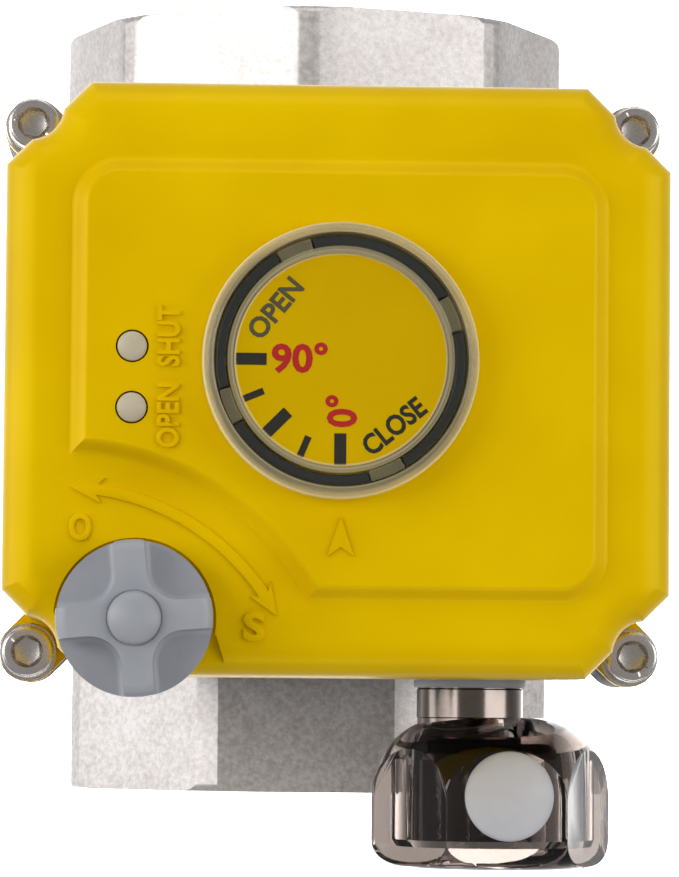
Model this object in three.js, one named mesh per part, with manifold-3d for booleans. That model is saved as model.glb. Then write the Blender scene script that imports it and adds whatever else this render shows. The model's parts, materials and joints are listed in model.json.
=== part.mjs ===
// Motorized ball valve: a quarter-turn electric actuator on a two-inch threaded ball valve.
// Millimetres, +Z up. The origin is where the stem axis meets the pipe axis, and the pipe runs along Y.
// At rest the valve is closed. Turning the output counter-clockwise, seen from above, opens it.
import * as THREE from "three";
import { mergeVertices } from "three/addons/utils/BufferGeometryUtils.js";
import Module from "manifold-3d";

const wasm = await Module();
wasm.setup();

const fullTurn = 2 * Math.PI;
const deg = Math.PI / 180;
const gap = 0.1; // between flat faces that rest on each other
const looseFit = 0.3; // round pieces that sit in one another
const beyond = 5; // how far a cutting tool runs past the face that it opens

// The valve
const pipe = {
  outletHalf: 60,
  inletHalf: 59,
  flats: 73.6,
  turnedRadius: 39.1,
  rim: 1.2,
  outletTurn: -3.2 * deg,
  inletTurn: 20 * deg,
  socketRadius: 28.3,
  socketDepth: 24,
  mouthRadius: 30.4,
  mouthDepth: 1.8,
  portRadius: 19,
};
const barrel = { radius: 37, half: 30, cavityRadius: 29, spigotRadius: 31.5, spigotEnd: -16 };
const ballRadius = 28;
const seat = { radius: 25.5, back: 24, sphere: 28.4, front: 12.5 };
const padPlate = { half: 25, low: 22, top: 43.9, screwPitch: 17.7, holeRadius: 2.6, holeFloor: 33 };
const stem = {
  radius: 7,
  flangeRadius: 10,
  flangeLow: 28.5,
  flangeTop: 31,
  tangLow: 22.8,
  tangWidth: 7.6,
  square: 9,
  squareLow: 46,
  top: 57,
  packingLow: 36,
  packingTop: 39,
  glandRadius: 11,
};

// The actuator's housing, cover and window
const housing = {
  centreY: -2,
  halfX: 45.1,
  halfY: 40.15,
  chamfer: 11.4,
  screwX: 42.05,
  screwY: 36.8,
  notchRadius: 4.6,
  bottom: 44,
  floor: 47,
  wall: 2.2,
  inset: 0.6,
  top: 80.9,
};
const gasket = { low: 81, top: 81.9, width: 2.2 };
const cover = { low: 82, earTop: 84.1, earRadius: 4.2, shoulder: 108, top: 113, skin: 2.5 };
const panel = { left: -36.1, right: 36.3, front: -32.2, back: 27.5, corner: 6.5, top: 115, slope: 2.2 };
const sweep = { x: -36.5, y: -49.4, radius: 36.7 }; // the arc that cuts the panel back in front of the knob
const well = { radius: 10.9, floor: 111.8, flareHalf: 14.1, flareReach: 12, flareStart: 2 };
const windowSize = { radius: 18.5, hole: 17.6, floor: 112.4, rimLow: 115.1, top: 120, wall: 1.4, skirt: 16.9 };
const ring = { outer: 16.7, inner: 15.3, low: 113.2, top: 118.3, lugs: 4 };
const dial = { radius: 14.2, low: 117, top: 118.2 };
const lens = { x: -27.8, shutY: 1.8, openY: -6.4, radius: 2.08, low: 109, top: 115.7 };

// The gear train: every gear has the same module
const gearModule = 0.8;
const train = { outputTeeth: 52, idlerPinion: 11, idlerWheel: 38, knobTeeth: 9, motorWheel: 30, motorTeeth: 10 };
const knobDirection = Math.atan2(-34.7, -27.1);
const motorIdlerDirection = 20 * deg;
const motorDirection = -100 * deg;
const lowGears = { low: 52, top: 58 };
const highGears = { low: 59.8, top: 62.8 };
const plate = { low: 64.5, top: 66 };
const shaft = { radius: 10, shoulder: 59.4, neckRadius: 6, top: 117, low: 47.4 };
const pinRadius = 2;
const pinLow = 51.1; // the pins are riveted into the gear plate and stop above the mounting screws
const cams = { openLow: 72, shutLow: 79, height: 4, radius: 8.6, lobe: 10.2 };
const motorSize = { radius: 11, top: 93, bossRadius: 5 };
const board = { low: 98, top: 99.6, halfX: 39, back: 32, front: -36, corner: 9 };

// The manual knob
const knob = { radius: 10.4, low: 113.6, top: 124, hubRadius: 3.6, capTop: 126, ribs: 4, shaftRadius: 3, footRadius: 2.4 };

// The cable entry
const entry = {
  x: 21.1,
  z: 65,
  washerRadius: 8.1,
  washerOuter: -43.2,
  nippleRadius: 7.5,
  nippleEnd: -52,
  sealRadius: 10.6,
  sealEnd: -65.5,
  capX: 24.2,
  capFlats: 30,
  capTurn: 5 * deg,
  capBack: -47.5,
  capFront: -69,
  neckRound: 12,
  endRound: 4,
  bore: 11.4,
  plugX: 0.2,
  plugY: -58.5,
  plugRadius: 6.35,
};

// Solids and geometries

function toSolid(geometry) {
  const bare = new THREE.BufferGeometry();
  bare.setAttribute("position", geometry.getAttribute("position").clone());
  bare.setIndex(geometry.index ? geometry.index.clone() : null);
  const merged = mergeVertices(bare, 1e-4);
  const vertProperties = merged.attributes.position.array;
  const triVerts = new Uint32Array(merged.index.array);
  const made = new wasm.Manifold(new wasm.Mesh({ numProp: 3, vertProperties, triVerts }));
  if (made.volume() > 0) return made;
  for (let i = 0; i < triVerts.length; i += 3) triVerts.subarray(i, i + 3).reverse();
  return new wasm.Manifold(new wasm.Mesh({ numProp: 3, vertProperties, triVerts }));
}

function toGeometry(solid) {
  const made = solid.getMesh();
  const geometry = new THREE.BufferGeometry();
  geometry.setAttribute("position", new THREE.BufferAttribute(made.vertProperties, 3));
  geometry.setIndex(new THREE.BufferAttribute(made.triVerts, 1));
  geometry.computeVertexNormals();
  return geometry;
}

const join = (...parts) => parts.reduce((a, b) => a.add(b));
const cut = (body, ...tools) => tools.reduce((a, b) => a.subtract(b), body);
const common = (a, b) => a.intersect(b);

// A round bar along Z.
function disc(radius, low, top, x = 0, y = 0, segments = 20) {
  const made = new THREE.CylinderGeometry(radius, radius, top - low, segments);
  return toSolid(made.rotateX(Math.PI / 2).translate(x, y, (low + top) / 2));
}

// A round bar along Y.
function barY(radius, from, to, x = 0, z = 0, segments = 24) {
  const made = new THREE.CylinderGeometry(radius, radius, to - from, segments);
  return toSolid(made.translate(x, (from + to) / 2, z));
}

function block(x0, x1, y0, y1, z0, z1) {
  const made = new THREE.BoxGeometry(x1 - x0, y1 - y0, z1 - z0);
  return toSolid(made.translate((x0 + x1) / 2, (y0 + y1) / 2, (z0 + z1) / 2));
}

// Turns [radius, height] points about Z.
function turnedZ(points, segments = 20) {
  return toSolid(turnedGeometry(points, segments).rotateX(Math.PI / 2));
}

// Turns [radius, distance] points about Y.
function turnedY(points, segments = 28) {
  return toSolid(turnedGeometry(points, segments));
}

function turnedGeometry(points, segments) {
  return new THREE.LatheGeometry(points.map(([r, h]) => new THREE.Vector2(r, h)), segments);
}

// A flat outline standing from low to top.
function prism(shape, low, top, curveSegments = 8) {
  const settings = { depth: top - low, bevelEnabled: false, curveSegments };
  return toSolid(new THREE.ExtrudeGeometry(shape, settings).translate(0, 0, low));
}

// The same, with its upper edge rounded inwards by round.
function roundedPrism(shape, low, top, round, steps, curveSegments = 8) {
  const settings = {
    depth: top - low,
    bevelEnabled: true,
    bevelThickness: round,
    bevelSize: round,
    bevelOffset: -round,
    bevelSegments: steps,
    curveSegments,
  };
  const made = toSolid(new THREE.ExtrudeGeometry(shape, settings).translate(0, 0, low));
  const reach = 2 * pipe.outletHalf;
  return common(made, block(-reach, reach, -reach, reach, low, top + round));
}

function mesh(name, solid, material) {
  const made = new THREE.Mesh(toGeometry(solid), material);
  made.name = name;
  return made;
}

function finish(color, roughness, metalness, opacity = 1) {
  return new THREE.MeshStandardMaterial({ color, roughness, metalness, opacity, transparent: opacity < 1 });
}

const finishes = {
  steel: () => finish(0xcdc8c3, 0.45, 0.9),
  bright: () => finish(0xc9c6c4, 0.25, 1),
  yellow: () => finish(0xe0b400, 0.32, 0),
  grey: () => finish(0xa6a8ad, 0.45, 0),
  white: () => finish(0xe4e4e2, 0.5, 0),
  dark: () => finish(0x3a3d40, 0.5, 0.2),
  black: () => finish(0x26292b, 0.6, 0),
  clear: () => finish(0xd8dcda, 0.08, 0, 0.35),
  brass: () => finish(0xc2a05a, 0.35, 0.9),
  nylon: () => finish(0xe8e6dc, 0.5, 0),
  green: () => finish(0x1d5c36, 0.5, 0),
};

// The valve

const halfAt = (sign) => (sign > 0 ? pipe.outletHalf : pipe.inletHalf);

// One end: a turned bar with eight flats, whose corners are left round.
function octagonEnd(from, sign) {
  const half = halfAt(sign);
  const cornerRadius = pipe.flats / 2 / Math.cos(fullTurn / 16);
  const made = new THREE.CylinderGeometry(cornerRadius, cornerRadius, half - from, 8);
  made.rotateY(sign > 0 ? pipe.outletTurn : pipe.inletTurn);
  const octagon = toSolid(made.translate(0, (sign * (half + from)) / 2, 0));
  const turned = turnedY(
    [
      [0, sign * (from - beyond)],
      [pipe.turnedRadius, sign * (from - beyond)],
      [pipe.turnedRadius, sign * (half - pipe.rim)],
      [pipe.turnedRadius - pipe.rim, sign * half],
      [0, sign * half],
    ],
    48,
  );
  return common(octagon, turned);
}

// The threaded socket and the port behind it, as one cutting tool for the end on that side.
function waterway(sign, portEnd) {
  const half = halfAt(sign);
  const shoulder = half - pipe.socketDepth;
  return turnedY(
    [
      [0, sign * portEnd],
      [pipe.portRadius, sign * portEnd],
      [pipe.portRadius, sign * shoulder],
      [pipe.socketRadius, sign * shoulder],
      [pipe.socketRadius, sign * (half - pipe.mouthDepth)],
      [pipe.mouthRadius, sign * half],
      [pipe.mouthRadius, sign * (half + beyond)],
      [0, sign * (half + beyond)],
    ],
    28,
  );
}

function screwSpots(pitchX, pitchY, centreY = 0) {
  return [
    [pitchX, centreY + pitchY],
    [-pitchX, centreY + pitchY],
    [-pitchX, centreY - pitchY],
    [pitchX, centreY - pitchY],
  ];
}

function valveBody() {
  const outside = join(
    octagonEnd(barrel.half - 1, 1),
    barY(barrel.radius, -barrel.half, barrel.half, 0, 0, 32),
    block(-padPlate.half, padPlate.half, -padPlate.half, padPlate.half, padPlate.low, padPlate.top),
  );
  const pocket = seat.radius + looseFit;
  const tools = [
    waterway(1, seat.back - 1),
    barY(barrel.spigotRadius, -barrel.half - beyond, barrel.spigotEnd, 0, 0, 24),
    barY(barrel.cavityRadius, barrel.spigotEnd - 1, seat.front, 0, 0, 24),
    barY(pocket, 0, seat.back + gap, 0, 0, 24),
    disc(stem.flangeRadius + looseFit, 0, stem.flangeTop + looseFit),
    disc(stem.radius + looseFit / 2, 0, padPlate.top + beyond),
    disc(stem.glandRadius, stem.packingLow, padPlate.top + beyond),
  ];
  for (const [x, y] of screwSpots(padPlate.screwPitch, padPlate.screwPitch)) {
    tools.push(disc(padPlate.holeRadius, padPlate.holeFloor, padPlate.top + beyond, x, y, 10));
  }
  return mesh("valve_body", cut(outside, ...tools), finishes.steel());
}

function endCap() {
  const spigot = barY(barrel.spigotRadius - looseFit, -barrel.half - 2, barrel.spigotEnd - looseFit, 0, 0, 24);
  const outside = join(octagonEnd(barrel.half + looseFit, -1), spigot);
  const pocket = barY(seat.radius + looseFit, -seat.back - gap, 0, 0, 0, 24);
  return mesh("end_cap", cut(outside, waterway(-1, seat.back - 1), pocket), finishes.steel());
}

function seatRing(name, sign) {
  const points = [
    [pipe.portRadius, sign * seat.back],
    [seat.radius, sign * seat.back],
  ];
  const steps = 3;
  for (let i = 0; i <= steps; i++) {
    const radius = seat.radius + ((pipe.portRadius - seat.radius) * i) / steps;
    points.push([radius, sign * Math.sqrt(seat.sphere ** 2 - radius ** 2)]);
  }
  points.push(points[0]);
  return mesh(name, turnedY(points, 24), finishes.nylon());
}

function ball() {
  const slotHalf = stem.tangWidth / 2 + looseFit;
  const slot = block(-slotHalf, slotHalf, -ballRadius, ballRadius, stem.tangLow - looseFit, ballRadius + beyond);
  const port = barY(pipe.portRadius, -ballRadius - beyond, ballRadius + beyond, 0, 0, 24);
  const sphere = toSolid(new THREE.SphereGeometry(ballRadius, 24, 16).rotateZ(Math.PI / 2));
  return mesh("ball", cut(sphere, port.rotate([0, 0, 90]), slot), finishes.bright());
}

function valveStem() {
  const half = stem.square / 2;
  const tang = stem.tangWidth / 2;
  const length = stem.radius + 2;
  const made = join(
    block(-tang, tang, -length, length, stem.tangLow, stem.flangeTop),
    disc(stem.flangeRadius, stem.flangeLow, stem.flangeTop),
    disc(stem.radius, stem.flangeLow, stem.squareLow),
    block(-half, half, -half, half, stem.squareLow - 1, stem.top),
  );
  return mesh("stem", made, finishes.steel());
}

// A flat ring along Z.
function collar(name, outer, inner, low, top, material, segments = 20) {
  const made = cut(disc(outer, low, top, 0, 0, segments), disc(inner, low - 1, top + 1, 0, 0, segments));
  return mesh(name, made, material);
}

function glandNut() {
  const across = stem.glandRadius - looseFit;
  const made = cut(
    disc(across, stem.packingTop + gap, padPlate.top, 0, 0, 6),
    disc(stem.radius + looseFit, stem.packingTop - 1, padPlate.top + 1),
  );
  return mesh("gland_nut", made, finishes.bright());
}

// A hexagon socket head cap screw, its head's underside at z = 0.
function capScrew(name, headRadius, headHeight, shankRadius, length, material) {
  const edge = headHeight / 8;
  const head = turnedZ(
    [
      [0, 0],
      [headRadius, 0],
      [headRadius, headHeight - edge],
      [headRadius - edge, headHeight],
      [0, headHeight],
    ],
    14,
  );
  const socket = disc(headRadius * 0.57, headHeight * 0.45, headHeight + 1, 0, 0, 6);
  return mesh(name, cut(join(head, disc(shankRadius, -length, 1, 0, 0, 8)), socket), material);
}

function valveGroup() {
  const group = new THREE.Group();
  group.add(valveBody(), endCap());
  group.add(seatRing("seat_ring_outlet", 1), seatRing("seat_ring_inlet", -1));
  group.add(ball(), valveStem(), glandNut());
  const packing = { outer: stem.glandRadius - looseFit, inner: stem.radius + looseFit / 2 };
  group.add(
    collar("stem_packing", packing.outer, packing.inner, stem.packingLow + gap, stem.packingTop, finishes.nylon()),
  );
  return group;
}

// The housing

// The housing's plan, inset all round by that much: a rectangle with cut corners and a notch at each screw.
function housingOutline(inset) {
  const halfX = housing.halfX - inset;
  const halfY = housing.halfY - inset;
  const chamfer = housing.chamfer - inset * (2 - Math.SQRT2);
  const notch = housing.notchRadius + inset;
  const toChamfer = (housing.screwX + housing.screwY - (halfX + halfY - chamfer)) / Math.SQRT2;
  const opening = Math.acos(toChamfer / notch);
  const shape = new THREE.Shape();
  shape.moveTo(halfX, housing.centreY);
  for (let quarter = 0; quarter < 4; quarter++) {
    const sx = quarter === 0 || quarter === 3 ? 1 : -1;
    const sy = quarter < 2 ? 1 : -1;
    const along = [
      [sx * halfX, housing.centreY + sy * (halfY - chamfer)],
      [sx * (halfX - chamfer), housing.centreY + sy * halfY],
    ];
    const [first, last] = sx * sy > 0 ? along : along.reverse();
    const inward = Math.atan2(-sy, -sx);
    shape.lineTo(...first);
    shape.absarc(
      sx * housing.screwX,
      housing.centreY + sy * housing.screwY,
      notch,
      inward + opening,
      inward - opening,
      true,
    );
    shape.lineTo(...last);
  }
  return shape;
}

function housingSpots() {
  return screwSpots(housing.screwX, housing.screwY, housing.centreY);
}

// An ear for a corner screw, with a web that reaches back to the wall.
function ear(x, y, low, top) {
  const inwardX = -Math.sign(x) * 5;
  const inwardY = -Math.sign(y - housing.centreY) * 5;
  const web = new THREE.BoxGeometry(2 * cover.earRadius, 8, top - low);
  web.rotateZ(Math.atan2(inwardY, inwardX) - Math.PI / 2);
  web.translate(x + inwardX / 2, y + inwardY / 2, (low + top) / 2);
  return join(disc(cover.earRadius, low, top, x, y, 12), toSolid(web));
}

function platePosts() {
  return [
    [-34, 16],
    [34, 22],
    [34, -12],
    [-5, 28],
  ];
}

function baseHousing() {
  const tapLow = 69.5;
  const footRound = 4;
  const outer = roundedPrism(housingOutline(housing.inset), -housing.top, -housing.bottom - footRound, footRound, 1, 2);
  const shell = outer.mirror([0, 0, 1]);
  const inside = prism(housingOutline(housing.inset + housing.wall), housing.floor, housing.top + 1, 2);
  let body = cut(shell, inside);
  for (const [x, y] of housingSpots()) {
    body = join(body, common(ear(x, y, tapLow - 3, housing.top), block(-46.4, 46.4, -43.4, 39.4, 0, 90)));
  }
  body = join(body, disc(16, housing.bottom, 51));
  for (const [x, y] of platePosts()) {
    body = join(body, disc(3.4, housing.floor - 1, plate.low - gap, x, y, 8));
  }
  const tools = [
    disc(13, housing.bottom - 1, 52),
    barY(entry.nippleRadius + 0.2, -50, -30, entry.x, entry.z, 20),
  ];
  for (const [x, y] of housingSpots()) {
    tools.push(disc(2.1, tapLow, housing.top + 1, x, y, 8));
  }
  for (const [x, y] of screwSpots(padPlate.screwPitch, padPlate.screwPitch)) {
    tools.push(disc(padPlate.holeRadius, housing.bottom - 1, housing.floor + 1, x, y, 10));
  }
  tools.push(disc(knob.footRadius + gap, housing.floor - 1.6, housing.floor + 1, knobSpot().x, knobSpot().y, 12));
  return mesh("base_housing", cut(body, ...tools), finishes.dark());
}

function coverGasket() {
  const outer = prism(housingOutline(housing.inset), gasket.low, gasket.top, 2);
  const inner = prism(housingOutline(housing.inset + gasket.width), gasket.low - 1, gasket.top + 1, 2);
  return mesh("cover_gasket", cut(outer, inner), finishes.black());
}

// The raised panel's plan: a rounded rectangle, cut back by an arc in front of the knob.
function panelSolid() {
  const { left, right, front, back, corner } = panel;
  const begin = Math.acos((left - sweep.x) / sweep.radius);
  const end = Math.asin((front - sweep.y) / sweep.radius);
  const shape = new THREE.Shape();
  shape.absarc(right - corner, front + corner, corner, -Math.PI / 2, 0, false);
  shape.absarc(right - corner, back - corner, corner, 0, Math.PI / 2, false);
  shape.absarc(left + corner, back - corner, corner, Math.PI / 2, Math.PI, false);
  shape.absarc(sweep.x, sweep.y, sweep.radius, begin, end, true);
  return roundedPrism(shape, cover.top - 1, panel.top - panel.slope, panel.slope, 1, 3);
}

// The recess round the knob runs out over the cover's front edge, and its right side slants outwards.
function wellFlare(x, y) {
  const shape = new THREE.Shape();
  shape.moveTo(x - well.radius, y - well.flareReach);
  shape.lineTo(x + well.flareHalf, y - well.flareReach);
  shape.lineTo(x + well.radius, y - well.flareStart);
  shape.lineTo(x - well.radius, y - well.flareStart);
  return prism(shape, well.floor, cover.top + beyond);
}

function coverShell() {
  const round = cover.top - cover.shoulder;
  const outer = roundedPrism(housingOutline(0), cover.low, cover.shoulder, round, 2, 2);
  let body = join(outer, panelSolid());
  for (const [x, y] of housingSpots()) {
    body = join(body, ear(x, y, cover.low, cover.earTop));
  }
  const inside = prism(housingOutline(cover.skin), cover.low - 1, cover.top - cover.skin, 2);
  const { x, y } = knobSpot();
  const tools = [
    inside,
    disc(well.radius, well.floor, cover.top + beyond, x, y, 28),
    wellFlare(x, y),
    disc(knob.shaftRadius + looseFit, cover.low, cover.top + beyond, x, y, 20),
    disc(windowSize.hole, windowSize.floor, panel.top + beyond, 0, 0, 24),
    disc(shaft.neckRadius + 1, cover.low, panel.top + beyond),
    disc(lens.radius + gap, cover.low, panel.top + beyond, lens.x, lens.shutY, 10),
    disc(lens.radius + gap, cover.low, panel.top + beyond, lens.x, lens.openY, 10),
  ];
  for (const [sx, sy] of housingSpots()) {
    tools.push(disc(2.2, cover.low - 1, cover.earTop + 1, sx, sy, 8));
  }
  return mesh("cover", cut(body, ...tools), finishes.yellow());
}

function housingGroup() {
  const group = new THREE.Group();
  group.add(baseHousing(), coverGasket(), coverShell());
  const flatTop = cover.earTop + gap + 0.8;
  const springTop = flatTop + gap + 1;
  housingSpots().forEach(([x, y], i) => {
    const label = i + 1;
    const flat = collar("flat_washer_" + label, 4.05, 2.2, cover.earTop + gap, flatTop, finishes.bright(), 14);
    const spring = collar("spring_washer_" + label, 3.6, 2.2, flatTop + gap, springTop, finishes.bright(), 14);
    const screw = capScrew("cover_screw_" + label, 3.5, 4, 1.95, 16, finishes.bright());
    flat.position.set(x, y, 0);
    spring.position.set(x, y, 0);
    screw.position.set(x, y, springTop + gap);
    group.add(flat, spring, screw);
  });
  screwSpots(padPlate.screwPitch, padPlate.screwPitch).forEach(([x, y], i) => {
    const screw = capScrew("mounting_screw_" + (i + 1), 4.2, 3.6, 2.4, 13.4, finishes.steel());
    screw.position.set(x, y, housing.floor + gap);
    group.add(screw);
  });
  return group;
}

// The window and what shows through and beside it

function windowLens() {
  const { radius, rimLow, top, wall, skirt } = windowSize;
  const made = turnedZ(
    [
      [0, top - wall],
      [skirt, top - wall],
      [skirt, rimLow - 2.4],
      [skirt + 0.5, rimLow - 2.4],
      [skirt + 0.5, rimLow],
      [radius, rimLow],
      [radius, top - 2.6],
      [radius - 0.9, top - 0.7],
      [radius - 2.4, top],
      [0, top],
    ],
    28,
  );
  return mesh("window_lens", made, finishes.clear());
}

// The black ring under the window is open at four lugs of the window, so it is a low ring with four raised arcs.
function windowRing() {
  const low = cut(
    disc(ring.outer, ring.low, ring.low + 1, 0, 0, 24),
    disc(ring.inner, ring.low - 1, ring.top, 0, 0, 24),
  );
  const raised = cut(
    disc(ring.outer, ring.low, ring.top, 0, 0, 24),
    disc(ring.inner, ring.low - 1, ring.top + 1, 0, 0, 24),
  );
  const slots = [];
  for (let i = 0; i < ring.lugs / 2; i++) {
    const slot = block(-20, 20, -2.6, 2.6, ring.low + 1, ring.top + 1);
    slots.push(slot.rotate([0, 0, 23 + 90 * i]));
  }
  return mesh("window_ring", join(low, cut(raised, ...slots)), finishes.black());
}

function lightLens(name, y) {
  const { radius, low, top } = lens;
  const dome = 0.7;
  const made = turnedZ(
    [
      [0, low],
      [radius - gap, low],
      [radius - gap, top - dome],
      [radius * 0.7, top - dome / 3],
      [0, top],
    ],
    10,
  );
  const placed = mesh(name, made, finishes.white());
  placed.position.set(lens.x, y, 0);
  return placed;
}

function windowGroup() {
  const group = new THREE.Group();
  group.add(windowLens(), windowRing());
  group.add(lightLens("light_lens_shut", lens.shutY), lightLens("light_lens_open", lens.openY));
  return group;
}

// The gear train

const pitchRadius = (teeth) => (gearModule * teeth) / 2;

function spotFrom(x, y, angle, distance) {
  return { x: x + distance * Math.cos(angle), y: y + distance * Math.sin(angle) };
}

function idlerSpot() {
  return spotFrom(0, 0, knobDirection, pitchRadius(train.outputTeeth + train.idlerPinion));
}

function knobSpot() {
  const idler = idlerSpot();
  return spotFrom(idler.x, idler.y, knobDirection, pitchRadius(train.idlerWheel + train.knobTeeth));
}

function motorIdlerSpot() {
  return spotFrom(0, 0, motorIdlerDirection, pitchRadius(train.outputTeeth + train.idlerPinion));
}

function motorSpot() {
  const idler = motorIdlerSpot();
  return spotFrom(idler.x, idler.y, motorDirection, pitchRadius(train.motorWheel + train.motorTeeth));
}

// A spur gear along Z. phase is the angle of one tooth's middle.
function spurGear(teeth, low, top, phase, form) {
  const radius = pitchRadius(teeth);
  const tip = radius + form.addendum * gearModule;
  const root = radius - form.dedendum * gearModule;
  const pitchHalf = fullTurn / teeth / 4 - form.thinning / radius / 2;
  const halves = form.flank(pitchHalf, gearModule / radius);
  const radii = halves.length === 2 ? [root, tip] : [root, radius, tip];
  const flank = halves.map((half, i) => [radii[i], half]);
  const shape = new THREE.Shape();
  for (let tooth = 0; tooth < teeth; tooth++) {
    const middle = phase + (fullTurn * tooth) / teeth;
    const up = flank.map(([r, half]) => [r, middle - half]);
    const down = flank.map(([r, half]) => [r, middle + half]).reverse();
    [...up, ...down].forEach(([r, angle], i) => {
      const go = tooth === 0 && i === 0 ? "moveTo" : "lineTo";
      shape[go](r * Math.cos(angle), r * Math.sin(angle));
    });
  }
  return prism(shape, low, top);
}

// The half angles of a tooth at its root, pitch circle and tip, from the half angle at the pitch circle
// and the angle that one module covers there. A wheel's teeth are straight-sided and a pinion's are curved.
const wheelForm = {
  addendum: 0.7,
  dedendum: 1.3,
  thinning: 0.16,
  flank: (half, unit) => [half + 0.42 * unit, half - 0.28 * unit],
};
const pinionForm = {
  addendum: 0.95,
  dedendum: 1.0,
  thinning: 0.16,
  flank: (half, unit) => [half + 0.02 * unit, half, half - 0.5 * unit],
};

// The phase that puts a tooth space of the driven gear on the tooth of the gear that it meshes with.
function meshPhase(direction, drivingTeeth, drivingPhase, drivenTeeth) {
  const offset = (direction - drivingPhase) * drivingTeeth;
  return direction + Math.PI + (offset + Math.PI) / drivenTeeth;
}

function outputGear() {
  const made = spurGear(train.outputTeeth, lowGears.low, lowGears.top, 0, wheelForm);
  return mesh("output_gear", cut(made, disc(shaft.radius + gap, 0, 100)), finishes.steel());
}

// A wheel above a pinion, in one piece, on a pin.
function idler(name, spot, direction, wheelTeeth, wheelPhase) {
  const pinionPhase = meshPhase(direction, train.outputTeeth, 0, train.idlerPinion);
  const made = join(
    spurGear(train.idlerPinion, lowGears.low - 0.5, highGears.low + 0.5, pinionPhase, pinionForm),
    spurGear(wheelTeeth, highGears.low, highGears.top, wheelPhase, wheelForm),
  );
  const placed = mesh(name, cut(made, disc(pinRadius + gap, 0, 100, 0, 0, 12)), finishes.nylon());
  placed.position.set(spot.x, spot.y, 0);
  return placed;
}

function pin(name, spot) {
  const placed = mesh(name, disc(pinRadius, pinLow, plate.top + 0.8, 0, 0, 12), finishes.bright());
  placed.position.set(spot.x, spot.y, 0);
  return placed;
}

function outputShaft() {
  const half = stem.square / 2 + 0.15;
  const made = cut(
    join(disc(shaft.radius, shaft.low, shaft.shoulder), disc(shaft.neckRadius, shaft.shoulder - 1, shaft.top - gap)),
    block(-half, half, -half, half, shaft.low - 1, stem.top + 1),
  );
  return mesh("output_shaft", made, finishes.steel());
}

function cam(name, low, lobeAngle) {
  const lobe = new THREE.BoxGeometry(cams.lobe, 5, cams.height);
  lobe.translate(cams.lobe / 2, 0, low + cams.height / 2).rotateZ(lobeAngle);
  const made = cut(
    join(disc(cams.radius, low, low + cams.height), toSolid(lobe)),
    disc(shaft.neckRadius + gap, low - 1, low + cams.height + 1),
  );
  return mesh(name, made, finishes.black());
}

function limitSwitch(name, low) {
  const made = join(block(-27, -14, 4, 16, low, low + 6), block(-14.5, -11.6, 8, 9, low + 1, low + 5));
  return mesh(name, made, finishes.dark());
}

function gearPlate() {
  const shape = new THREE.Shape();
  const corners = [
    [-38, -30],
    [-32, -38.5],
    [-18, -38.5],
    [4, -20],
    [37.5, -20],
    [37.5, 27],
    [-10, 31],
    [-38, 20],
  ];
  corners.forEach(([x, y], i) => shape[i ? "lineTo" : "moveTo"](x, y));
  const tools = [
    disc(shaft.neckRadius + looseFit, 0, 100, 0, 0, 24),
    disc(motorSize.bossRadius + looseFit, 0, 100, motorSpot().x, motorSpot().y, 20),
    disc(knob.footRadius + gap, 0, 100, knobSpot().x, knobSpot().y, 12),
  ];
  for (const spot of [idlerSpot(), motorIdlerSpot()]) {
    tools.push(disc(pinRadius + gap, 0, 100, spot.x, spot.y, 12));
  }
  return mesh("gear_plate", cut(prism(shape, plate.low, plate.top), ...tools), finishes.bright());
}

function motor() {
  const { x, y } = motorSpot();
  const made = join(
    disc(motorSize.radius, plate.top + gap, motorSize.top, 0, 0, 24),
    disc(motorSize.bossRadius, plate.low + 0.2, plate.top + 1, 0, 0, 20),
    block(-4, -2, -1, 1, motorSize.top - 1, motorSize.top + 3),
    block(2, 4, -1, 1, motorSize.top - 1, motorSize.top + 3),
  );
  const placed = mesh("motor", made, finishes.steel());
  placed.position.set(x, y, 0);
  return placed;
}

function motorPinion() {
  const wheel = motorWheelPhase();
  const phase = meshPhase(motorDirection, train.motorWheel, wheel, train.motorTeeth);
  const placed = mesh(
    "motor_pinion",
    spurGear(train.motorTeeth, highGears.low - 0.6, highGears.top + 0.6, phase, pinionForm),
    finishes.brass(),
  );
  placed.position.set(motorSpot().x, motorSpot().y, 0);
  return placed;
}

// The wheels' own phases are free, so one tooth of each points along the line to its mate.
const idlerWheelPhase = () => knobDirection;
const motorWheelPhase = () => motorDirection;

function trainGroup() {
  const group = new THREE.Group();
  group.add(outputShaft(), outputGear());
  group.add(collar("output_bush", 12.8, shaft.radius + looseFit, housing.bottom + 0.4, 51, finishes.brass()));
  group.add(idler("idler_gear", idlerSpot(), knobDirection, train.idlerWheel, idlerWheelPhase()));
  group.add(idler("motor_idler_gear", motorIdlerSpot(), motorIdlerDirection, train.motorWheel, motorWheelPhase()));
  group.add(pin("idler_pin", idlerSpot()), pin("motor_idler_pin", motorIdlerSpot()));
  group.add(gearPlate(), motor(), motorPinion());
  group.add(cam("cam_open", cams.openLow, -100 * deg), cam("cam_shut", cams.shutLow, 170 * deg));
  group.add(limitSwitch("limit_switch_open", cams.openLow - 1), limitSwitch("limit_switch_shut", cams.shutLow - 1));
  group.add(mesh("indicator_dial", disc(dial.radius, dial.low, dial.top, 0, 0, 24), finishes.yellow()));
  return group;
}

// The circuit board

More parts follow.
